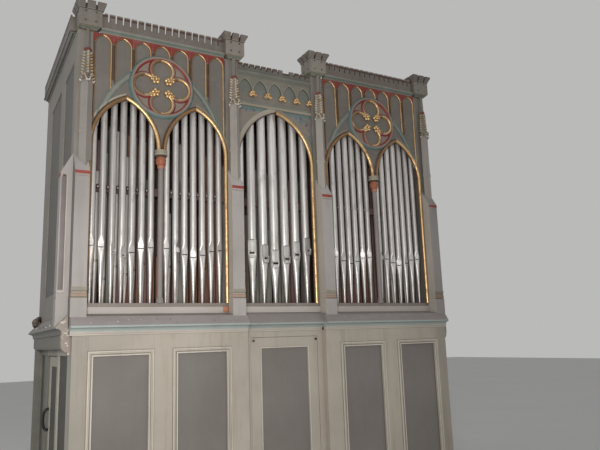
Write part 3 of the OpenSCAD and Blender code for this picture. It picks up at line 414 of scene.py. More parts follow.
# A lighter copy of the splay paint: painted light on left-hand splays.
band_cream_lit = painted("band_cream_lit", (168, 160, 146), chips=0.15, dirt_and_shade=(112, 102, 88))
# A lighter cream: painted highlight along the panel beads and the gablets' leaf tips.
bead_highlight_cream = painted("bead_highlight_cream", (208, 201, 190), chips=0.2, grime_and_shade=0.5, dirt_and_shade=(120, 110, 96))
# Dark lines beside the beads: painted shade in the grooves.
groove_shade_brown = painted("groove_shade_brown", (144, 132, 116), chips=0.1, dirt_and_shade=(84, 74, 62))
chip_white = painted("chip_white", (214, 210, 204), chips=0.0)
old_break = timber("old_break", (132, 114, 100), (96, 80, 68))
chip_pink = painted("chip_pink", (176, 156, 148), chips=0.2, dirt_and_shade=(120, 100, 90))
frieze_light = painted("frieze_light", (168, 164, 148), chips=0.2, grime_and_shade=0.7, dirt_and_shade=(104, 98, 84))
blue_grey = painted("blue_grey", (98, 104, 122), chips=0.25, dirt_and_shade=(86, 90, 92))
crown_shade = painted("crown_shade", (82, 74, 64), chips=0.1, dirt_and_shade=(58, 52, 44))
# Dark brown: painted shadow lines beside the gilt rolls, down the bay edges and between paired gold
# lines, and brown paint on the column heads and at the side piers' strip stops.
brown_and_shadow_line = painted("brown_and_shadow_line", (84, 62, 46), chips=0.1, dirt_and_shade=(60, 44, 34))
gold = gilded("gold_paint")
# A darker copy of the gilding: painted shade on flanks and left-hand halves of rolls, lines and
# lobes.
shaded_gold = gilded("shaded_gold", bright=(158, 122, 84), worn=(92, 66, 44), metal=0.55)
old_gold = gilded("old_gold", bright=(190, 154, 98), worn=(128, 98, 66), metal=0.4)
# Pipe metal darker at the left bay: painted shade.
tin = pipe_metal("pipe_metal", shade_along_x=[(-1.22, -1.50, 0.85)])
lip_metal = pipe_metal("lip_metal", bright=(222, 220, 216), dull=(186, 183, 178), rough=0.50)
# A brighter copy of the pipe metal for the deeper middle bay: painted light.
middle_tin_lit = pipe_metal("middle_tin_lit", bright=(242, 240, 236), dull=(206, 203, 198))
dull_tin = pipe_metal("dull_tin", bright=(196, 190, 183), dull=(146, 140, 134), rough=0.45,
                      metal=0.3)
chest_wood = timber("chest_wood", (92, 58, 46), (58, 38, 30))
back_wood = timber("back_wood", (128, 96, 72), (94, 68, 50), joint=0.236)
inner_wood = timber("inner_wood", (128, 88, 76), (92, 58, 50), stretches=[
    (-1.44, (138, 132, 126)), (1.22, (150, 104, 84))])
# Inner timbers darker at the left end: painted shade.
maroon_wood = timber("maroon_wood", (138, 106, 102), (102, 78, 74), shade_along_x=[(-1.1, -1.4, 0.76)])
brown_wood = timber("brown_wood", (140, 98, 78), (102, 70, 54), shade_along_x=[(-1.1, -1.4, 0.76)])
olive_wood = timber("olive_wood", (146, 144, 134), (110, 108, 100),
                    shade_along_x=[(-1.1, -1.4, 0.70)])
grey_wood = timber("grey_wood", (144, 130, 116), (104, 92, 82), shade_along_x=[(-1.1, -1.4, 0.75)])
iron = pipe_metal("black_iron", bright=(44, 42, 40), dull=(24, 22, 21), rough=0.5)
# Dark backs inside the pipe mouths: painted shade.
mouth_shade = timber("mouth_painted_shade", (52, 48, 45), (34, 31, 29))


# ------------------------------------------------------------ making pieces
def faces_of(verts):
    return {f for v in verts for f in v.link_faces}


def give(verts, index):
    """Gives all faces at these corners one finish."""
    for face in faces_of(verts):
        face.material_index = index


def whole(bm):
    return bm.verts[:] + bm.edges[:] + bm.faces[:]


def cut(bm, at, way, clear=True):
    """Cuts a mesh on a plane through a point; clear drops what lies beyond it."""
    bmesh.ops.bisect_plane(bm, geom=whole(bm), plane_co=at, plane_no=way, clear_outer=clear)


def close_holes(bm):
    bmesh.ops.holes_fill(bm, edges=[e for e in bm.edges if len(e.link_faces) == 1], sides=0)


def as_mesh(bm, name="stock"):
    """Hands over what was made as a mesh."""
    mesh = bpy.data.meshes.new(name)
    bm.to_mesh(mesh)
    bm.free()
    return mesh


def join(bm, part):
    """Adds a part that was made on its own."""
    stock = as_mesh(part)
    bm.from_mesh(stock)
    bpy.data.meshes.remove(stock)


def finish_piece(name, bm, mats, nodes=(), body=CASE, limit=38, weighted=False):
    """Closes, turns outwards, smooths and hands over a piece."""
    bmesh.ops.remove_doubles(bm, verts=bm.verts, dist=0.00002)
    bmesh.ops.recalc_face_normals(bm, faces=bm.faces)
    for face in bm.faces:
        face.smooth = True
    for edge in bm.edges:
        edge.smooth = len(edge.link_faces) == 2 and edge.calc_face_angle() < math.radians(limit)
    mesh = as_mesh(bm, name)
    for mat in mats:
        mesh.materials.append(mat)
    piece = bpy.data.objects.new(name, mesh)
    bpy.context.scene.collection.objects.link(piece)
    if weighted:
        even = piece.modifiers.new("even_shading", "WEIGHTED_NORMAL")
        even.keep_sharp = True
    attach(piece, body)
    if nodes:
        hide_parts(*nodes)
    return piece


def bevel(bm, edges, width, segments=2):
    bmesh.ops.bevel(bm, geom=edges, offset=width, segments=segments, profile=0.5,
                    affect="EDGES", clamp_overlap=True, material=-1)


def ease(bm, verts, width):
    """Eases all edges at these corners."""
    bevel(bm, list({e for v in verts for e in v.link_edges}), width)


def eased(name, node, mats, width=0.0018, pick=None, body=CASE, segments=2):
    """A CAD solid with its arrises eased; pick(centre, normal) chooses a face's finish."""
    bm = bmesh.new()
    bm.from_mesh(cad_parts[node].data)
    bmesh.ops.remove_doubles(bm, verts=bm.verts, dist=0.00002)
    bmesh.ops.dissolve_limit(bm, angle_limit=math.radians(0.5), verts=bm.verts, edges=bm.edges)
    for face in bm.faces:
        face.material_index = pick(face.calc_center_median(), face.normal) if pick else 0
    sharp = [e for e in bm.edges if len(e.link_faces) == 2
             and e.calc_face_angle() > math.radians(35)]
    bevel(bm, sharp, width, segments)
    return finish_piece(name, bm, mats, (node,), body, limit=48, weighted=True)


def block(bm, low, high, index=0):
    """A squared block between two corners."""
    low, high = Vector(low), Vector(high)
    made = bmesh.ops.create_cube(bm, size=1.0, matrix=Matrix.Translation((low + high) / 2)
                                 @ Matrix.Diagonal((*(high - low), 1.0)))["verts"]
    give(made, index)
    return made


def ball(bm, at=(0, 0, 0), r=1.0, fineness=2):
    return bmesh.ops.create_icosphere(bm, subdivisions=fineness, radius=r,
                                      matrix=Matrix.Translation(at))["verts"]


def disc(bm, at, lean, axis, r, tip, deep, segments):
    """A disc or bar about a point, leaned about an axis, with a radius at either end."""
    return bmesh.ops.create_cone(bm, cap_ends=True, segments=segments, radius1=r, radius2=tip,
                                 depth=deep, matrix=Matrix.Translation(at)
                                 @ Matrix.Rotation(lean, 4, axis))["verts"]


def turned(bm, outline, steps, at, turn=0.0, index=0):
    """A turned piece: outline of (radius, height) spun about the upright at a point."""
    verts = [bm.verts.new((at[0] + r * math.sin(turn), at[1] - r * math.cos(turn), at[2] + z))
             for r, z in outline]
    edges = [bm.edges.new(pair) for pair in zip(verts, verts[1:])]
    bmesh.ops.spin(bm, geom=verts + edges, cent=at, axis=(0, 0, 1), angle=2 * math.pi,
                   steps=steps, use_merge=True)
    new = set(verts)
    spread = list(verts)
    while spread:
        for edge in spread.pop().link_edges:
            for v in edge.verts:
                if v not in new:
                    new.add(v)
                    spread.append(v)
    give(new, index)
    return list(new)


def distance_out(c, half, r, spring):
    """How far a point lies outside the edge of a pointed opening, on its right side."""
    return math.hypot(c.x - half + r, c.z - spring) - r if c.z > spring else c.x - half


def arch_side(section, half, r, spring, leg=0.0):
    """One side of a moulding round a pointed opening, as a mesh of its own.

    section holds (distance out from the opening's edge, y); half is the opening's half
    width, r the arc's radius, and leg how far it runs down below the springing.
    """
    bm = bmesh.new()
    ring = [bm.verts.new((half + out, y, spring)) for out, y in section]
    foot = bm.faces.new(ring)
    turn = math.acos(max(-1.0, (r - half) / (r + max(o for o, y in section)))) * 1.02
    bmesh.ops.spin(bm, geom=[foot] + foot.edges[:] + ring, cent=(half - r, 0, spring),
                   axis=(0, 1, 0), angle=-turn, steps=22)
    cut(bm, (0, 0, 0), (-1, 0, 0))
    close_holes(bm)
    if leg:
        base = [f for f in bm.faces if f.calc_center_median().z < spring + 0.0005
                and abs(f.normal.z) > 0.9]
        for v in {v for f in base for v in f.verts}:
            v.co.z = spring - leg
    return bm


def arch_moulding(bm, x_mid, section, half, r, spring, leg=0.0, sides=(1, -1), index=None):
    """A moulding round a pointed opening at x_mid; index(distance out, y) gives finishes."""
    for side in sides:
        part = arch_side(section, half, r, spring, leg)
        if index:
            for face in part.faces:
                c = face.calc_center_median()
                face.material_index = index(distance_out(c, half, r, spring), c.y)
        if side < 0:
            bmesh.ops.mirror(part, geom=whole(part), axis="X", merge_dist=-1)
            right = [f for f in part.faces if f.calc_center_median().x > 0]
            bmesh.ops.delete(part, geom=right, context="FACES")
        bmesh.ops.translate(part, verts=part.verts, vec=(x_mid, 0, 0))
        join(bm, part)


def round_section(mid, y, r, count):
    """A round bar's section about (mid, y)."""
    return [(mid + r * math.cos(2 * math.pi * k / count), y + r * math.sin(2 * math.pi * k / count))
            for k in range(count)]


def roll_section(mid, y, r=0.0185):
    """A stout roll with a small cove and fillet along its outer side, about (mid, y)."""
    roll = [(mid + r * math.cos(a), y + r * math.sin(a))
            for a in (math.radians(d) for d in range(150, 331, 18))]
    return roll + [(mid + r + 0.0005, y - 0.002), (mid + r + 0.007, y - 0.001),
                   (mid + r + 0.008, 0.0005), (mid + r + 0.008, 0.0040), (mid - r * 0.7, 0.0040)]


def roll_finish(out, y):
    """Gold on the front; dark gold on the flanks and brown along the outer side, as painted shade.
    """
    return 1 if out > 0.0148 else (2 if y > -0.0150 else 0)


def shaded_finish(out, y):
    """The same roll on a left-hand branch: dark gold, and brown along the outer side, as painted
    shade.
    """
    return 1 if out > 0.0100 else 2


def hoop(bm, at, radius, section, index, start=0.0, sweep=2 * math.pi, steps=72):
    """A moulding run round a circle in the facade's plane.

    section holds (out, y), and index(distance out) gives a face its finish.
    """
    full = sweep > 6.28
    turn = Matrix.Rotation(-start, 3, "Y")
    ring = [bm.verts.new(Vector(at) + turn @ Vector((radius + out, y, 0))) for out, y in section]
    before = set(bm.faces)
    foot = bm.faces.new(ring)
    geom = [foot] + foot.edges[:] + ring
    if full:
        bm.faces.remove(foot)
        geom = list({e for v in ring for e in v.link_edges}) + ring
    bmesh.ops.spin(bm, geom=geom, cent=at, axis=(0, 1, 0), angle=-sweep, steps=steps,
                   use_merge=full)
    for face in set(bm.faces) - before:
        c = face.calc_center_median() - Vector(at)
        face.material_index = index(math.hypot(c.x, c.z) - radius)


def leaf_knob(bm, at, size, lean, index):
    """A small carved leaf curl: a ball pinched to a tip that turns up."""
    made = ball(bm)
    for v in made:
        tip = max(0.0, v.co.x)
        v.co.z += 0.55 * tip * tip - 0.35 * (1 - tip) * abs(v.co.y)
        v.co.y *= 1.0 - 0.45 * tip
        v.co.x *= 1.25
    place = Matrix.Translation(at) @ Matrix.Rotation(lean, 4, "Z")
    bmesh.ops.transform(bm, matrix=place @ Matrix.Diagonal((*size, 1.0)), verts=made)
    give(made, index)


# ---------------------------------------------------------------- lower case
def face_finish(test):
    return lambda c, n: 1 if test(c, n) else 0


eased("front_plinth", "plinth_front", [cream], 0.003)
eased("rear_plinth", "plinth_rear", [side_cream], 0.003)
eased("front_stiles", "lower_stiles", [cream], 0.0015)
eased("front_rails", "lower_rails", [cream], 0.0015)
eased("front_panels", "lower_panels", [panel_paint])
eased("panel_frames", "panel_mouldings", [moulding_cream], 0.005, segments=3)
eased("lift_out_panel", "access_panel", [cream, panel_paint], 0.003,
      face_finish(lambda c, n: n.y < -0.9 and c.y > MIDDLE_FRONT_Y + 0.010 and abs(c.x) < 0.245))
eased("panel_knobs", "access_knobs", [iron], 0.001)
eased("near_side_wall", "lower_side_front", [door_cream, door_panel], 0.003,
      face_finish(lambda c, n: n.x < -0.9 and c.x > -LOWER_SIDE_X + 0.010))
eased("rear_side_wall", "lower_side_rear", [side_dim, door_panel], 0.003,
      face_finish(lambda c, n: n.x < -0.9 and -LOWER_SIDE_X + 0.010 < c.x))
eased("door_frame", "doorway_rails", [side_cream], 0.002)
eased("right_side_wall", "lower_side_right", [side_cream, side_panel], 0.003,
      face_finish(lambda c, n: n.x > 0.9 and c.x < LOWER_SIDE_X - 0.010))
eased("door_leaf", "side_door", [door_cream, door_panel], 0.003,
      face_finish(lambda c, n: n.x < -0.9 and c.x > DOOR_FACE_X + 0.004), body=DOOR)
eased("hinge_frame_leaves", "door_hinges", [iron], 0.0008)
eased("hinge_knuckles", "door_knuckles", [iron], 0.0006, body=DOOR)
eased("lower_back_boards", "lower_back", [back_wood])
eased("lower_deck", "deck", [chest_wood])


def bow_handle():
    """Forged bow pull: two rosettes and a bar that swells towards its lower end."""
    bm = bmesh.new()
    y, last = 1.190, 16
    path = [Vector((DOOR_FACE_X - 0.004 - 0.044 * math.sin(math.pi * k / last) ** 0.6,
                    y, 0.945 + 0.095 * math.cos(math.pi * k / last))) for k in range(last + 1)]
    ring = bmesh.ops.create_circle(bm, segments=12, radius=0.0115,
                                   matrix=Matrix.Translation(path[0])
                                   @ Matrix.Rotation(math.pi / 2, 4, "Y"))["verts"]
    rim = list({e for v in ring for e in v.link_edges})
    for k in range(1, last + 1):
        made = bmesh.ops.extrude_edge_only(bm, edges=rim)["geom"]
        verts = [g for g in made if isinstance(g, bmesh.types.BMVert)]
        rim = [g for g in made if isinstance(g, bmesh.types.BMEdge)]
        bmesh.ops.translate(bm, verts=verts, vec=path[k] - path[k - 1])
        turn = Quaternion()
        if k < last:
            turn = (path[k] - path[max(k - 2, 0)]).rotation_difference(path[k + 1] - path[k - 1])
        swell = 1.0 + 0.018 * (1 if 8 < k < 13 else (-1 if k >= 13 else 0.4))
        for v in verts:
            v.co = path[k] + (turn @ (v.co - path[k])) * swell
    close_holes(bm)
    for z in (0.850, 1.040):
        ease(bm, disc(bm, (DOOR_FACE_X - 0.003, y, z), -math.pi / 2, "Y", 0.017, 0.012, 0.006,
                      20), 0.0012)
    finish_piece("bow_handle", bm, [iron], ("door_handle",), DOOR)


bow_handle()

# -------------------------------------------------------------------- impost
eased("front_impost", "impost_front", [impost_paint], 0.0025)
eased("side_impost", "impost_sides", [side_impost_paint, bracket_cream], 0.004,
      face_finish(lambda c, n: c.y < 0.012 and c.z < 1.700))
eased("sill_strips", "sill_boards", [sill_cream], 0.003)
eased("toe_strips", "toe_boards", [toe_paint], 0.002)
eased("chest", "wind_chest", [chest_wood], 0.004)

# ---------------------------------------------------------------- upper case
def from_wheel(c):
    """How far a point lies from the middle of its bay's wheel."""
    return math.hypot(abs(c.x) - BAY_MID_X, c.z - WHEEL_Z)
eased("upper_stiles", "facade_stiles", [upper_grey])
eased("bay_heads", "side_heads", [field_grey, dark_red], 0.001,
      face_finish(lambda c, n: abs(n.y) < 0.3 and c.z < APEX_Z + 0.01 and c.z > SPRING_Z))
eased("middle_head", "head_middle", [head_grey, dark_red], 0.001,
      face_finish(lambda c, n: abs(n.y) < 0.3 and c.z < 3.91 and c.z > MIDDLE_SPRING_Z))
# Left faces of the inner piers take a lighter copy of the paint as painted light; the outer left
# pier's left face a darker copy as painted shade.
eased("case_piers", "front_piers", [pier_grey, pier_painted_lit, pier_shade], 0.0025,
      lambda c, n: 0 if n.x > -0.9 or c.z > PIER_FRONT_Z else (1 if c.x > -1.5 else 2))
eased("corner_piers", "side_piers", [pier_plain], 0.0025)
eased("pier_stripes", "pier_bands", [red_paint], 0.001)
eased("shafts", "pinnacles", [shaft_grey], 0.002)
eased("turret_blocks", "turrets", [turret_paint], 0.002)
eased("top_cornices", "cornices", [cornice_paint, side_cornice], 0.0015,
      face_finish(lambda c, n: abs(c.x) > UPPER_SIDE_X - 0.03 and c.y > 0.10))
eased("battlements", "crestings", [crest_paint], 0.0015)
eased("upper_side_walls", "upper_sides", [upper_grey, side_panel], 0.003,
      face_finish(lambda c, n: abs(n.x) > 0.9 and abs(c.x) < UPPER_SIDE_X - 0.008
                  and abs(c.x) > UPPER_SIDE_X - 0.016))
eased("upper_back_boards", "upper_back", [back_wood, maroon_wood],
      pick=face_finish(lambda c, n: n.y < -0.5))
eased("roof_boards", "roof", [back_wood])
eased("frieze_board", "frieze", [frieze_paint, frieze_edge], 0.002,
      face_finish(lambda c, n: abs(n.y) < 0.3 and c.z > 4.063 and abs(c.x) < MIDDLE_HALF - 0.002))
eased("spandrels", "red_fields", [deep_red, pocket_grey], 0.0008,
      face_finish(lambda c, n: from_wheel(c) < 0.268))


def blind_tracery():
    """Half-round gilt lines of the blind lancets, dying on the great arch and the wheel; brown
    outer sides and dark gold left halves are painted shade.
    """
    line = [(-0.0035, 0.0005), (-0.0035, -0.0050), (-0.0010, -0.0095), (0.0035, -0.0120),
            (0.0075, -0.0105), (0.0105, -0.0065), (0.0115, -0.0030), (0.0115, 0.0005)]
    side = arch_side(line, BLIND_HALF, BLIND_R, BLIND_SPRING_Z, BLIND_SPRING_Z - SPRING_Z - 0.042)
    low = SPRING_Z + 0.060
    while low < BLIND_SPRING_Z:
        cut(side, (0, 0, low), (0, 0, 1), clear=False)
        low += 0.012
    # The outer side is brown: a painted shadow line.
    for face in side.faces:
        out = distance_out(face.calc_center_median(), BLIND_HALF, BLIND_R, BLIND_SPRING_Z)
        face.material_index = 1 if out > 0.0082 else 0
    stock = as_mesh(side)
    bm = bmesh.new()
    for bay in (-1, 1):
        for i in range(7):
            x = bay * BAY_MID_X + (i - 3) * BLIND_PITCH
            for hand in (-1, 1):
                before = set(bm.verts)
                bm.from_mesh(stock)
                made = [v for v in bm.verts if v not in before]
                bmesh.ops.transform(bm, verts=made, matrix=Matrix.Translation((x, 0, 0))
                                    @ Matrix.Diagonal((hand, 1, 1, 1)))
                # Left halves take the dark gold: painted shade.
                if hand < 0:
                    for face in faces_of(made):
                        face.material_index = face.material_index or 2
    bpy.data.meshes.remove(stock)
    hidden = []
    for face in bm.faces:
        c = face.calc_center_median()
        local = abs(abs(c.x) - BAY_MID_X)
        to_arch = math.hypot(local - GREAT_HALF + GREAT_R, c.z - SPRING_Z) - GREAT_R
        if from_wheel(c) < WHEEL_R + 0.012 or (to_arch < -0.004 and local < GREAT_HALF):
            hidden.append(face)
    bmesh.ops.delete(bm, geom=hidden, context="FACES")
    finish_piece("blind_tracery", bm, [gold, brown_and_shadow_line, shaded_gold],
                 ("blind_lancets",), limit=50)


eased("pipe_stays", "pipe_rails", [maroon_wood])
eased("wooden_pipes", "inner_pipes", [inner_wood], 0.002)


def gilded_rolls():
    """Gilt rolls round the openings, with dark gold and brown on their flanks, outer sides and
    left-hand branches as painted shade.
    """
    bm = bmesh.new()
    for side, x in LANCETS:
        # Left-hand branches take the darker finish: painted shade.
        for hand, leg in ((side, SPRING_Z - SILL_Z), (-side, 0.0)):
            arch_moulding(bm, x, roll_section(-0.001, -0.0085), LANCET_HALF, LANCET_R, SPRING_Z,
                          leg, (hand,), roll_finish if hand > 0 else shaded_finish)
    # The middle roll's back flank takes the dark gold: painted shade.
    arch_moulding(bm, 0.0, round_section(-0.0165, BOARD - 0.0165, 0.0188, 16), MIDDLE_HALF,
                  MIDDLE_R, MIDDLE_SPRING_Z, MIDDLE_SPRING_Z - SILL_Z, (1,),
                  lambda out, y: 2 if y > BOARD - 0.0220 else 0)
    finish_piece("gilded_rolls", bm, [gold, brown_and_shadow_line, shaded_gold],
                 ("arch_rolls",), limit=60)


def painted_lit_left_of(bm, x):
    """Gives the splays left of X a lighter copy of their paint, as painted light."""
    for face in bm.faces:
        if face.material_index == 1 and face.calc_center_median().x < x:
            face.material_index = 2


def arch_splays():
    """A brown line round each lancet as painted shade, with a grey splay outside it on the lancet's
    outer side; the splay left of the left bay's outer lancet is lighter, as painted light.
    """
    bm = bmesh.new()
    line = [(0.0215, 0.001), (0.0215, -0.004), (0.0255, -0.004), (0.0255, 0.001)]
    splay = line[:2] + [(0.025, -0.004), (0.025, -0.006), (0.043, -0.006), (0.047, 0.001)]
    for side, x in LANCETS:
        for hand, section in ((side, splay), (-side, line)):
            arch_moulding(bm, x, section, LANCET_HALF, LANCET_R, SPRING_Z, sides=(hand,),
                          index=lambda out, y: 0 if out < 0.0255 else 1)
    painted_lit_left_of(bm, -BAY_MID_X - LANCET_DX)
    finish_piece("arch_splays", bm, [brown_and_shadow_line, arch_grey, band_cream_lit], limit=30)


def middle_splay():
    """The middle opening's brown line as painted shade and wide grey splay, cut off at the bay's
    sides; the splay's left half is lighter, as painted light.
    """
    bm = bmesh.new()
    wide = [(-0.004, BOARD + 0.001), (-0.004, BOARD - 0.004), (0.004, BOARD - 0.004),
            (0.010, BOARD - 0.009), (0.050, BOARD - 0.009), (0.056, BOARD + 0.001)]
    arch_moulding(bm, 0.0, wide, MIDDLE_HALF - 0.010, MIDDLE_R - 0.010, MIDDLE_SPRING_Z,
                  index=lambda out, y: 0 if out < 0.003 else 1)
    for side in (1, -1):
        cut(bm, (side * (MIDDLE_HALF - 0.0005), 0, 0), (side, 0, 0))
    close_holes(bm)
    painted_lit_left_of(bm, 0)
    finish_piece("middle_splay", bm, [brown_and_shadow_line, arch_grey, band_cream_lit], limit=30)


gilded_rolls()
arch_splays()
middle_splay()
blind_tracery()
eased("great_arch_lines", "great_arches", [teal_paint], 0.003)


# --------------------------------------------------------------------- pipes
def display_pipe(bm, d, foot, top, lip, leaf):
    """One metal pipe: toe, tapered foot, flattened lips, mouth and body. Front is -Y."""
    r = d / 2
    flat = 0.36 * r
    up = foot + (0.19 if leaf else 0.26) * d
    levels = [0.0, 0.010, 0.12, foot * 0.5, foot * 0.72, foot - 0.045, foot - 0.022,
              foot - 0.008, foot, up]
    levels += [up + lip * k / 7 for k in range(1, 8)]
    levels += [up + lip + 0.006, up + lip + 0.35, top]
    taper = lambda z: 0.009 + (r - 0.009) * min(1.0, max(0.0, z - 0.010) / (foot - 0.010)) ** 0.94
    outline = [(0.0, 0.0)] + [(taper(z) if z > 0 else 0.0075, z) for z in levels] + [(0.0, top)]
    steps = 32
    verts = turned(bm, outline, steps, (0, 0, 0), turn=math.pi / steps)
    for v in verts:
        z = v.co.z
        if z <= foot:
            press = max(0.0, (z - foot * 0.72) / (foot * 0.28))
        elif z <= up + 0.0001:
            press = 1.0
        elif leaf:
            press = max(0.0, min(1.0, (1.0 - (z - up) / lip) / 0.5))
        else:
            press = 1.0 if z <= up + lip + 0.0001 else 0.0
        local = math.hypot(v.co.x, v.co.y)
        limit = -local + flat * press * min(1.0, local / r)
        if press > 0 and v.co.y < limit:
            v.co.y = limit
        if v.co.y < 0:
            v.co.x *= 1.0 + 0.10 * press

    centre = bmesh.types.BMFace.calc_center_median
    hole = [f for f in faces_of(verts) if foot < centre(f).z < up and centre(f).y < -0.3 * r
            and abs(centre(f).x) < (0.80 if leaf else 0.66) * r]
    bmesh.ops.inset_region(bm, faces=hole, thickness=0.0012, depth=0.0, use_even_offset=True)
    inner = bmesh.ops.extrude_face_region(bm, geom=hole)["geom"]
    back = [g for g in inner if isinstance(g, bmesh.types.BMVert)]
    bmesh.ops.translate(bm, verts=back, vec=(0, 0.45 * r, 0))
    bmesh.ops.delete(bm, geom=[f for f in hole if f.is_valid], context="FACES")
    # The mouth's back takes the dark mouth paint: painted shade.
    give(back, 1)
    for f in faces_of(v for v in verts if v.is_valid):
        if (up < centre(f).z < up + lip and f.normal.y < -0.9 and abs(centre(f).x) < 0.8 * r
                and f.material_index == 0):
            f.material_index = 2


def pipe_row(bm, x_mid, y, turns, pitch, d, thin, mouth, steps, top, lip, leaf):
    """A row of pipes whose mouths stand in a V; turns says where each mouth looks.

    With leaf set the upper lips are pointed, and mouths that look far aside have slim
    ears. Without it the lips are square and the mouths boxed.
    """
    mid = (len(turns) - 1) / 2
    for i, turn in enumerate(turns):
        k = abs(i - mid)
        width = d - thin * k
        foot = mouth + steps[int(k)]
        part = bmesh.new()
        display_pipe(part, width, foot, top, lip, leaf)
        r = width / 2
        slot = 1.3 * r
        up = foot + 0.26 * width
        for side in (-1, 1):
            if not leaf:
                a = side * (slot / 2 + 0.002)
                ease(part, block(part, (a - 0.002, -r - 0.010, foot - 0.012),
                                 (a + 0.002, -r * 0.4, up + 0.012)), 0.0008)
            elif abs(turn) > 29:
                a = side * 0.80 * r
                ease(part, block(part, (a - 0.0018, -r - 0.004, foot - 0.012),
                                 (a + 0.0018, -r * 0.3, foot + 0.032), 2), 0.0008)
        if not leaf:
            ease(part, block(part, (-slot / 2 - 0.002, -r - 0.010, foot - 0.034),
                             (slot / 2 + 0.002, -r * 0.6, foot - 0.010), 2), 0.002)
            ease(part, block(part, (-slot / 2 - 0.006, -r + 0.004, up + 0.002),
                             (slot / 2 + 0.006, -r * 0.5, up + lip), 2), 0.003)
        bmesh.ops.recalc_face_normals(part, faces=part.faces)
        place = Matrix.Translation((x_mid + (i - mid) * pitch, y, SILL_Z))
        bmesh.ops.transform(part, matrix=place @ Matrix.Rotation(math.radians(turn), 4, "Z"),
                            verts=part.verts)
        join(bm, part)


SIDE_STEPS = (0.0, 0.026, 0.064, 0.075)
MIDDLE_STEPS = (0.0, 0.048, 0.096, 0.142)
TURNS = {"left": ([-14, -16, 40, 34, 4, -14, 0], [-4, 55, 0, -14, -4, 8, 6]),
         "right": ([-20, -36, -8, 22, 0, -34, -30], [30, -10, -24, -36, 10, -20, -30])}
for bay, hand in (("left", -1), ("right", 1)):
    bm = bmesh.new()
    for side, turns in zip((-1, 1), TURNS[bay]):
        pipe_row(bm, hand * BAY_MID_X + side * LANCET_DX, 0.072, turns, SIDE_PITCH, 0.060, 0.002,
                 0.410, SIDE_STEPS, APEX_Z + 0.120 - SILL_Z, 0.088, True)
    finish_piece(bay + "_display_pipes", bm, [tin, mouth_shade, lip_metal],
                 ("pipes_" + bay,), limit=34)
bm = bmesh.new()
pipe_row(bm, 0.0, 0.1235, [-60, -27, 12, -12, 0, -8, 12], MIDDLE_PITCH, 0.087, 0.003, 0.384,
         MIDDLE_STEPS, 3.905 + 0.060 - SILL_Z, 0.118, False)
finish_piece("middle_display_pipes", bm, [middle_tin_lit, mouth_shade, lip_metal],
             ("pipes_middle",), limit=34)


# ------------------------------------------------------------------ carvings
def crockets():
    """Leaf curls up the arrises of every spire and along the slopes of the gablets."""
    bm = bmesh.new()
    for x in SHAFT_XS:
        for level in range(8):
            z = 3.944 + 0.027 * level
            reach = (0.0265 - 0.0012 * level) * math.sqrt(2)
            for k in (0, 2, 3):
                a = k * math.pi / 2
                spot = Vector((x + math.cos(a) * reach, PINNACLE_Y + math.sin(a) * reach, z))
                size = 0.0130 * (1.0 + 0.25 * luck.random())
                leaf_knob(bm, spot, (size, size, size * 0.9), a,
                          1 if luck.random() < 0.12 else 0)
        for face in (-1, 1):
            for side in (-1, 1):
                for step in range(3):
                    along = side * (0.032 - 0.011 * step)
                    turn = Matrix.Rotation(face * math.pi / 4, 3, "Z")
                    spot = turn @ Vector((along, -0.046, 0)) + Vector(
                        (x, PINNACLE_Y, 3.868 + 0.024 * step))
                    leaf_knob(bm, spot, (0.0105, 0.0105, 0.010), -math.pi / 2
                              + face * math.pi / 4, 0 if step else 2)
    finish_piece("crockets", bm, [finial_grey, old_gold, bead_highlight_cream], limit=80)


def leaf_buds():
    """Gilt leaf buds: five lobes round a berry, in the wheels and under the frieze."""
    bm = bmesh.new()

    def bud(x, y, z, r, red_under=False):
        if red_under:
            give(disc(bm, (x, y - 0.003, z), math.pi / 2, "X", r, r * 0.94, 0.006, 24), 1)
        for k in range(5):
            a = 2 * math.pi * k / 5 + 0.3 + luck.random() * 0.25
            out = r * 0.50
            made = ball(bm)
            for v in made:
                v.co.z *= 1.0 - 0.35 * abs(v.co.y)
            place = (Matrix.Translation((x + math.cos(a) * out, y - 0.010, z + math.sin(a) * out))
                     @ Matrix.Rotation(-a, 4, "Y")
                     @ Matrix.Diagonal((r * 0.44, r * 0.36, r * 0.45, 1.0)))
            bmesh.ops.transform(bm, matrix=place, verts=made)
        ball(bm, (x, y - r * 0.55, z), r * 0.34)

    for hand in (-1, 1):
        for i in (-1, 1):
            for j in (-1, 1):
                for across, up, r in ((0.060, 0.060, 0.047), (0.090, 0.082, 0.036)):
                    bud(hand * BAY_MID_X + i * across, -0.004, WHEEL_Z + j * up, r)
    for i in range(1, 6):
        x = FRIEZE_PITCH * i - MIDDLE_HALF - (0.012 if i == 5 else 0.0)
        bud(x, BOARD - 0.012, 4.060, 0.034, True)
        bud(x + 0.026, BOARD - 0.012, 4.040, 0.020)
        bud(x - 0.026, BOARD - 0.012, 4.040, 0.020)
    finish_piece("leaf_buds", bm, [gold, orange_red], ("gold_buds",), limit=80)


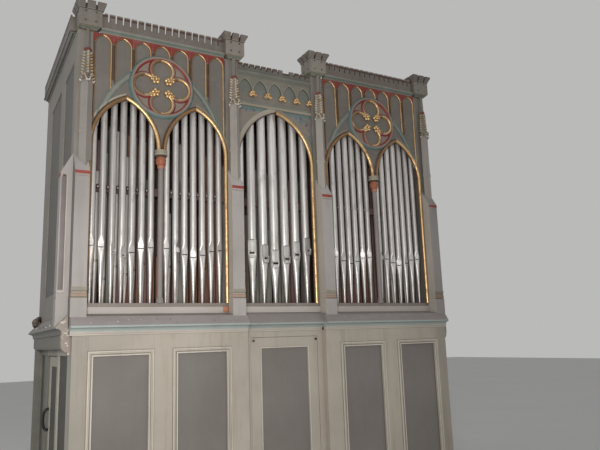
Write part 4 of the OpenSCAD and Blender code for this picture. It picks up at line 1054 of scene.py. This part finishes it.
def bay_columns():
    """Slim columns between the lancets: shaft, red neck, drum with gilt dots, abacus."""
    bm = bmesh.new()
    r = 0.026
    top = SPRING_Z - SILL_Z
    shaft = [(0, 0), (r + 0.008, 0), (r + 0.008, 0.024), (r + 0.006, 0.028), (r + 0.003, 0.033),
             (r + 0.003, 0.044), (r - 0.003, 0.052), (r - 0.003, top - 0.172),
             (r - 0.003, top - 0.169)]
    # Steps, finish and outline of the neck, drum, line and abacus: (beyond r, below the top)
    head = ((32, 5, ((-0.003, 0.169), (0.003, 0.166), (0.005, 0.160), (0.005, 0.146),
                     (0.001, 0.138))),
            (40, 1, ((0.001, 0.138), (0.009, 0.132), (0.013, 0.124), (0.0155, 0.104),
                     (0.018, 0.084), (0.014, 0.076), (0.0135, 0.066))),
            (40, 4, ((0.0135, 0.066), (0.020, 0.060), (0.027, 0.050), (0.030, 0.0475))),
            (40, 2, ((0.030, 0.0475), (0.032, 0.043), (0.032, 0.029), (0.030, 0.0255),
                     (0.0255, 0.022), (0.0255, 0.013), (0.029, 0.009), (0.030, 0), (-r, 0))))
    for hand in (-1, 1):
        at = (hand * BAY_MID_X, 0.012, SILL_Z)
        turned(bm, shaft, 32, at)
        for steps, index, outline in head:
            turned(bm, [(r + out, top - down) for out, down in outline], steps, at, 0, index)
        for row, (out, down) in enumerate(((0.0135, 0.120), (0.0155, 0.104), (0.0175, 0.088))):
            for k in range(11):
                a = 2 * math.pi * (k + 0.5 * (row % 2)) / 11
                ball(bm, (at[0] + (r + out) * math.sin(a), at[1] - (r + out) * math.cos(a),
                          SPRING_Z - down), 0.0052, 1)
    for face in bm.faces:
        if len(face.verts) == 3 and face.calc_area() < 0.00004 and face.material_index == 0:
            face.material_index = 3
    finish_piece("bay_columns", bm, [column_grey, orange_red, abacus_grey, old_gold, brown_and_shadow_line,
                                     orange_paint],
                 ("colonnettes",), limit=34)


def merlon_caps(bm, along, start, run, low, high, z0, z1, lost=(0, 0)):
    """Painted caps of the merlons: blocks that wrap each merlon's faces under its top.

    They follow one another along X or Y; low and high are their reach across it, and no
    cap is made where a merlon's middle lies within the stretch that is lost.
    """
    count = round(run / MERLON_PITCH)
    step = run / count
    for i in range(count):
        a = start + i * step + (MERLON_GAP / 2 if i else 0.0)
        b = start + (i + 1) * step - MERLON_GAP / 2
        if lost[0] < start + (i + 0.5) * step < lost[1]:
            continue
        if along == "X":
            block(bm, (a, low, z0), (b, high, z1))
        else:
            block(bm, (low, a, z0), (high, b, z1))


def painted_lines():
    """Painted lines: merlon caps, cornice, mullions between the gold lines, piers and foot."""
    bm = bmesh.new()
    z0, z1 = CREST_TOP_Z - 0.037, CREST_TOP_Z - 0.015
    for left, right in ((TURRET_XS[0], TURRET_XS[1]), (TURRET_XS[2], TURRET_XS[3])):
        left, right = left + 0.098, right - 0.098
        merlon_caps(bm, "X", left, right - left, -0.0215, 0.0055, z0, z1)
        block(bm, (left, -0.0048, 4.352), (right, 0.0005, 4.364), 1)
        block(bm, (left, -0.0345, 4.3935), (right, -0.0300, 4.3985), 2)
    for hand in (-1, 1):
        low, high = sorted((hand * 1.9620, hand * 1.9890))
        merlon_caps(bm, "Y", 0.132, 1.900 - 0.132, low, high, z0, z1)
        # Brown lines down the bay edges and between the paired gold lines: painted shade.
        for x in (hand * (BAY_OUT_X - 0.006), hand * (BAY_IN_X - 0.002)):
            block(bm, (x - 0.003, -0.003, 1.962), (x + 0.003, 0.0005, 4.34), 4)
        for i in range(1, 7):
            x = hand * (BAY_IN_X + BLIND_PITCH * i)
            foot = WHEEL_Z + 0.30 if abs(abs(x) - BAY_MID_X) < 0.2 else 3.93
            block(bm, (x - 0.0110, -0.0022, foot), (x + 0.0110, 0.0005, 4.270), 4)
    merlon_caps(bm, "X", -MIDDLE_HALF, 2 * MIDDLE_HALF, -0.0015, 0.0255, 4.338, 4.354,
                (0.060, 0.2))
    for x in PIER_XS:
        block(bm, (x - 0.059, FRONT_Y - 0.0012, PIER_FRONT_Z - 0.052),
              (x + 0.059, FRONT_Y + 0.0010, PIER_FRONT_Z - 0.046), 2)
    ease(bm, block(bm, (-0.604, -0.026, 1.874), (-0.556, -0.0125, 1.928), 5), 0.003)
    finish_piece("painted_lines", bm, [cap_red, red_paint, rim_pink, gold, brown_and_shadow_line,
                 orange_paint])


def turret_dots():
    """Small dark squares in two rows round the turrets as painted shade for holes, and the shade
    within their crowns as a dark block.
    """
    bm = bmesh.new()
    for x in TURRET_XS:
        block(bm, (x - 0.0905, TURRET_Y - 0.0905, 4.520), (x + 0.0905, TURRET_Y + 0.0905, 4.598))
        for turn in range(4):
            for side in (-1, 1):
                for z in (4.520, 4.432):
                    part = block(bm, (-0.008, -0.0015, -0.008), (0.008, 0.0015, 0.008))
                    place = (Matrix.Translation((x, TURRET_Y, z))
                             @ Matrix.Rotation(turn * math.pi / 2, 4, "Z")
                             @ Matrix.Translation((side * 0.044, -0.098, 0)))
                    bmesh.ops.transform(bm, matrix=place, verts=part)
    finish_piece("turret_dots", bm, [crown_shade])


def wheels():
    """The wheels: a rim with red and teal splays, and four lobes with gilt rolls, each roll's left
    half in dark gold as painted shade.
    """
    bm = bmesh.new()
    rim = [(-0.040, 0.0005), (-0.038, -0.002), (-0.020, -0.026), (-0.016, -0.028),
           (-0.004, -0.028), (0.000, -0.026), (0.016, -0.007), (0.018, 0.0005)]
    lobe = [(-0.0175, 0.0005), (-0.0170, -0.010), (-0.0140, -0.0185), (-0.0080, -0.0235),
            (-0.0010, -0.0235), (0.0030, -0.0200), (0.0035, -0.0205), (0.0105, -0.0205),
            (0.0120, -0.0195), (0.0290, -0.0015), (0.0295, 0.0005)]
    sweep = math.radians(284)
    for hand in (-1, 1):
        at = (hand * BAY_MID_X, 0, WHEEL_Z)
        hoop(bm, at, WHEEL_R, rim,
             lambda out: 2 if out < -0.019 else (1 if out < -0.0015 else 3))
        for k in range(4):
            a = k * math.pi / 2
            spot = (at[0] + LOBE_OUT * math.cos(a), 0, at[2] + LOBE_OUT * math.sin(a))
            before = set(bm.faces)
            hoop(bm, spot, LOBE_R, lobe,
                 lambda out: 0 if out < 0.0025 else (1 if out < 0.0115 else 2),
                 a - sweep / 2, sweep, 36)
            # The left half of each lobe's gold takes the dark gold: painted shade.
            for face in set(bm.faces) - before:
                if face.material_index == 0 and face.calc_center_median().x < spot[0] - 0.01:
                    face.material_index = 4
    close_holes(bm)
    finish_piece("wheel_tracery", bm, [gold, rim_pink, deep_red, teal_paint, shaded_gold],
                 ("wheel_lobes",), limit=40)


def great_arch_bands():
    """Light flat between the two teal lines of each great arch, cut clear of the wheel."""
    bm = bmesh.new()
    band = [(-0.041, 0.0005), (-0.041, -0.004), (-0.026, -0.0065), (-0.011, -0.004),
            (-0.011, 0.0005)]
    for hand in (-1, 1):
        arch_moulding(bm, hand * BAY_MID_X, band, GREAT_HALF, GREAT_R, SPRING_Z)
    hidden = []
    for face in bm.faces:
        c = face.calc_center_median()
        if from_wheel(c) < WHEEL_R + 0.004 or c.z < SPRING_Z + 0.17:
            hidden.append(face)
    bmesh.ops.delete(bm, geom=hidden, context="FACES")
    finish_piece("great_arch_bands", bm, [arch_grey], limit=40)


def inner_row():
    """Dull small pipes on the boards behind the display pipes: a cone foot and a body."""
    bm = bmesh.new()
    spots = [(x + (i - 2.5) * SIDE_PITCH, 0.150) for _, x in LANCETS for i in range(6)]
    spots += [((i - 2.5) * MIDDLE_PITCH, 0.222) for i in range(6)]
    for x, y in spots:
        foot = 0.20 + 0.24 * luck.random()
        r = 0.017 + 0.008 * luck.random()
        top = foot + (0.15 + 0.35 * luck.random() if luck.random() < 0.35
                      else 0.75 + 0.60 * luck.random())
        x += 0.020 * (luck.random() - 0.5)
        turned(bm, [(0, 0), (0.006, 0.0), (0.007, 0.012), (r, foot - 0.03), (r, foot - 0.004),
                    (r * 0.72, foot), (r * 0.72, foot + 0.012), (r, foot + 0.016), (r, top),
                    (0, top)], 16, (x, y, SILL_Z), luck.random())
    finish_piece("inner_row", bm, [dull_tin], limit=40)


def square_ring(bm, x, half, z0, z1, width, y0, y1, index=0):
    """A flat square-cut frame round an opening, set in by its width."""
    left, right = x - half, x + half
    for low, high in (((left, y0, z0), (left + width, y1, z1)),
                      ((right - width, y0, z0), (right, y1, z1)),
                      ((left + width, y0, z0), (right - width, y1, z0 + width)),
                      ((left + width, y0, z1 - width), (right - width, y1, z1))):
        block(bm, low, high, index)


def panel_beads():
    """Two beads on each bolection frame of the lower case, lighter as painted highlight, and the
    dark lines beside them as painted shade in the grooves.
    """
    bm = bmesh.new()
    for x in (-0.843, -1.537, 0.843, 1.537):
        for half, width, y0, y1, index in ((0.2640, 0.0085, -0.1325, -0.1285, 0),
                                           (0.2555, 0.0025, -0.12935, -0.1285, 1),
                                           (0.2340, 0.0095, -0.1325, -0.1285, 0),
                                           (0.2365, 0.0020, -0.12935, -0.1285, 1),
                                           (0.2700, 0.0050, -0.1236, -0.1228, 1)):
            square_ring(bm, x, half, 0.515 - half, 1.302 + half, width, y0, y1, index)
    front = MIDDLE_FRONT_Y + 0.003
    for half, width, proud, index in ((0.2570, 0.0090, 0.0045, 0), (0.2595, 0.0025, 0.0008, 1)):
        square_ring(bm, 0.0, half, 0.497 - half, 1.291 + half, width, front - proud,
                    front + 0.0005, index)
    finish_piece("panel_beads", bm, [bead_highlight_cream, groove_shade_brown])


def wear_and_tear():
    """Chips on the weathering, plaster bits on the side bracket, broken ends of mouldings."""
    bm = bmesh.new()

    def chip(at, size, index):
        made = ball(bm, fineness=1)
        for v in made:
            v.co *= 1.0 + 0.5 * (luck.random() - 0.5)
        place = Matrix.Translation(at) @ Euler((0.9, 0, luck.random() * 3)).to_matrix().to_4x4()
        bmesh.ops.transform(bm, verts=made, matrix=place @ Matrix.Diagonal((*size, 1.0)))
        give(made, index)

    for k in range(34):
        x = -1.86 + 3.72 * (k + 0.8 * luck.random()) / 34
        if abs(x) > 0.42:
            rise = 0.15 + 0.6 * luck.random()
            grain = 0.0035 + 0.004 * luck.random()
            chip((x, -0.176 + 0.053 * rise, 1.768 + 0.077 * rise),
                 (grain * 1.6, grain, 0.0015), 0 if luck.random() < 0.75 else 2)
    for k in range(16):
        z = 1.560 + 0.13 * luck.random()
        y = -0.068 + 0.066 * luck.random()
        reach = 0.023 + 0.4 * max(0.0, z - 1.58)
        chip((-LOWER_SIDE_X - reach, y, z), (0.007 + 0.008 * luck.random(), 0.010, 0.012), 1)
    for k in range(26):
        out = luck.random()
        chip((-2.000 + 0.044 * out, 1.690 + 0.006 * k, 1.812 + 0.045 * out + 0.066 * luck.random()),
             (0.024, 0.026 + 0.006 * luck.random(), 0.028), 2 if k % 2 else 3)
    for k in range(26):
        out = luck.random()
        chip((-2.034 + 0.085 * out, 0.16 + 1.50 * luck.random(), 1.776 + 0.068 * out),
             (0.008 + 0.006 * luck.random(), 0.014, 0.006), (1, 0, 1, 3)[k % 4])
    finish_piece("wear_and_tear", bm, [chip_white, chip_pink, grey_wood, old_break],
                 limit=60)


def corner_shade_strips():
    """A dark strip down each side pier as painted shade, with a stop at its head, and a moulded
    foot and narrow strip in the lighter pier paint as painted light.
    """
    bm = bmesh.new()
    for hand in (-1, 1):
        for inner, outer, z0, z1, proud, index in (
                (1.990, 2.030, 2.066, 3.012, 0.0014, 0), (1.996, 2.022, 3.012, 3.028, 0.005, 1),
                (1.980, 2.037, 2.044, 2.058, 0.005, 2), (1.982, 1.9895, 2.058, 3.012, 0.002, 2)):
            low, high = sorted((hand * inner, hand * outer))
            ease(bm, block(bm, (low, -proud, z0), (high, 0.001, z1), index), 0.0005)
    finish_piece("corner_shade_strips", bm, [pier_shade, brown_and_shadow_line, pier_painted_lit])


def cresting_return():
    """Short return of the side cresting to the left-hand corner turret."""
    bm = bmesh.new()
    ease(bm, block(bm, (-1.9870, 0.1080, 4.404), (-1.9400, 0.1325, 4.528)), 0.0015)
    ease(bm, block(bm, (-1.9960, 0.1000, 4.392), (-1.9420, 0.1325, 4.406)), 0.0015)
    finish_piece("cresting_return", bm, [crest_paint])


def stay_hooks():
    """Bent hooks that hold the side bays' pipes to the rail."""
    bm = bmesh.new()
    for _, mid in LANCETS:
        for i in range(6):
            x = mid + (i - 2.5) * SIDE_PITCH
            bmesh.ops.create_uvsphere(bm, u_segments=12, v_segments=8, radius=0.0075,
                                      matrix=Matrix.Translation((x, 0.058, HOOK_Z)))
            disc(bm, (x, 0.081, HOOK_Z), math.pi / 2, "X", 0.005, 0.005, 0.046, 10)
    finish_piece("stay_hooks", bm, [dull_tin])


def inner_boards():
    """Wooden pipes and posts close behind the display pipes, each in its own tone."""
    bm = bmesh.new()
    for low, high, y, tones in ((-BAY_OUT_X, -BAY_IN_X, 0.186, (0, 0, 0, 1, 1, 2)),
                                (-0.400, 0.400, 0.262, (2, 2, 3, 0)),
                                (BAY_IN_X, BAY_OUT_X, 0.186, (1, 1, 3, 0, 1))):
        x = low + 0.008
        while x < high - 0.035:
            wide = 0.028 + 0.042 * luck.random()
            tall = (1.30 + 0.45 * luck.random() if luck.random() < 0.75
                    else 0.35 + 0.60 * luck.random())
            tone = tones[int(luck.random() * len(tones))]
            ease(bm, block(bm, (x, y, SILL_Z + 0.001), (min(x + wide, high - 0.005), y + 0.012,
                                                        SILL_Z + tall), tone), 0.002)
            x += wide + 0.005 + 0.014 * luck.random()
    finish_piece("inner_boards", bm, [maroon_wood, brown_wood, olive_wood, grey_wood])


def frieze_lines():
    """Light lines round the five small arches of the frieze."""
    bm = bmesh.new()
    half, rise = 0.0741, 0.115
    face = BOARD - 0.012
    line = [(0.0020, face + 0.0005), (0.0020, face - 0.0030), (0.0065, face - 0.0030),
            (0.0065, face + 0.0005)]
    for i in range(5):
        arch_moulding(bm, FRIEZE_PITCH * (i - 2), line, half,
                      (half * half + rise * rise) / (2 * half), 4.090, 0.027)
    finish_piece("frieze_lines", bm, [frieze_light], limit=30)


def painted_sprays():
    """Worn painted leaf sprays in the corners of the middle head, in teal and blue-grey."""
    bm = bmesh.new()
    spots = [(0.20 + 0.21 * luck.random(), 3.815 + 0.09 * luck.random(), 0.026)
             for _ in range(15)]
    spots = [(x, z, size) for x, z, size in spots
             if math.hypot(x - MIDDLE_HALF + MIDDLE_R, z - MIDDLE_SPRING_Z) > MIDDLE_R + 0.075]
    spots += [(0.394 + 0.012 * luck.random(), 3.60 + 0.030 * k, 0.020) for k in range(7)]
    spots += [(-0.400 + 0.040 * k, 3.880 + 0.020 * luck.random(), 0.022) for k in range(7)]
    for x, z, size in spots:
        made = ball(bm)
        place = (Matrix.Translation((x, BOARD - 0.0002, z))
                 @ Matrix.Rotation(3.1 * luck.random(), 4, "Y")
                 @ Matrix.Diagonal((size, 0.0022, size * 0.42, 1.0)))
        bmesh.ops.transform(bm, matrix=place, verts=made)
        give(made, 1 if luck.random() < 0.35 else 0)
    finish_piece("painted_sprays", bm, [teal_paint, blue_grey], limit=60)


crockets()
leaf_buds()
bay_columns()
painted_lines()
turret_dots()
wheels()
great_arch_bands()
inner_row()
panel_beads()
wear_and_tear()
corner_shade_strips()
cresting_return()
stay_hooks()
inner_boards()
frieze_lines()
painted_sprays()


# ------------------------------------------------------ stage, light, camera
def stage():
    """A pale floor, and an even room light that the camera sees as a grey wall."""
    bm = bmesh.new()
    bmesh.ops.create_grid(bm, x_segments=1, y_segments=1, size=30.0)
    floor = bpy.data.objects.new("pale_floor", as_mesh(bm, "pale_floor"))
    mat, tree, skin, place = material("pale_floor")
    soft = noise(tree, place, 0.6, 3)
    tree.links.new(blend(tree, soft, tint((236, 235, 232)), tint((228, 227, 224))),
                   skin.inputs["Base Color"])
    skin.inputs["Roughness"].default_value = 0.8
    floor.data.materials.append(mat)
    bpy.context.scene.collection.objects.link(floor)

    world = bpy.data.worlds.new("pale_room")
    bpy.context.scene.world = world
    world.use_nodes = True
    tree = world.node_tree
    tree.nodes.clear()
    path = tree.nodes.new("ShaderNodeLightPath")
    seen = sums(tree, "MAXIMUM", path.outputs["Is Camera Ray"], sums(
        tree, "MAXIMUM", path.outputs["Is Glossy Ray"], path.outputs["Is Transmission Ray"]))
    light = put(tree, "ShaderNodeBackground", {"Color": (0.97, 0.98, 1.0, 1), "Strength": 0.30})
    view = put(tree, "ShaderNodeBackground", {"Color": tint((186, 186, 185)), "Strength": 1.0})
    mix = put(tree, "ShaderNodeMixShader", {0: seen, 1: light.outputs[0], 2: view.outputs[0]})
    out = tree.nodes.new("ShaderNodeOutputWorld")
    tree.links.new(mix.outputs[0], out.inputs[0])


def lamp(name, at, aim, power, size, colour=(1, 1, 1), spread=180):
    """A round lamp at a point, aimed at another; spread is its angle in degrees."""
    data = bpy.data.lights.new(name, "AREA")
    data.shape = "DISK"
    data.spread = math.radians(spread)
    data.size = size
    data.energy = power
    data.color = colour
    obj = bpy.data.objects.new(name, data)
    obj.location = at
    obj.rotation_euler = (Vector(aim) - Vector(at)).to_track_quat("-Z", "Y").to_euler()
    bpy.context.scene.collection.objects.link(obj)


def camera():
    """The camera, solved from the straight lines of the case."""
    yaw, pitch, roll = (math.radians(a) for a in (29.474, 10.613, -1.947))
    ahead = Vector((math.sin(yaw) * math.cos(pitch), math.cos(yaw) * math.cos(pitch),
                    math.sin(pitch)))
    right = Vector((math.cos(yaw), -math.sin(yaw), 0.0))
    up = right.cross(ahead)
    across = math.cos(roll) * right + math.sin(roll) * up
    upright = -math.sin(roll) * right + math.cos(roll) * up
    data = bpy.data.cameras.new("camera")
    data.sensor_width = 36.0
    data.lens = 36.893
    data.clip_end = 200.0
    obj = bpy.data.objects.new("camera", data)
    obj.matrix_world = Matrix.Translation((-2.7504, -5.2802, 1.6)) @ Matrix(
        (across, upright, -ahead)).transposed().to_4x4()
    bpy.context.scene.collection.objects.link(obj)
    bpy.context.scene.camera = obj


stage()
lamp("key", (-2.95, -5.15, 2.15), (-1.8, 0.2, 2.3), 109, 1.0, (1.0, 0.988, 0.97), 130)
lamp("fill", (4.5, -6.0, 5.0), (0.3, 0.2, 2.4), 22, 4.0)
lamp("side", (-8.0, 1.5, 4.5), (-1.9, 0.9, 2.2), 80, 4.0)
camera()
bpy.context.scene.view_settings.view_transform = "Standard"
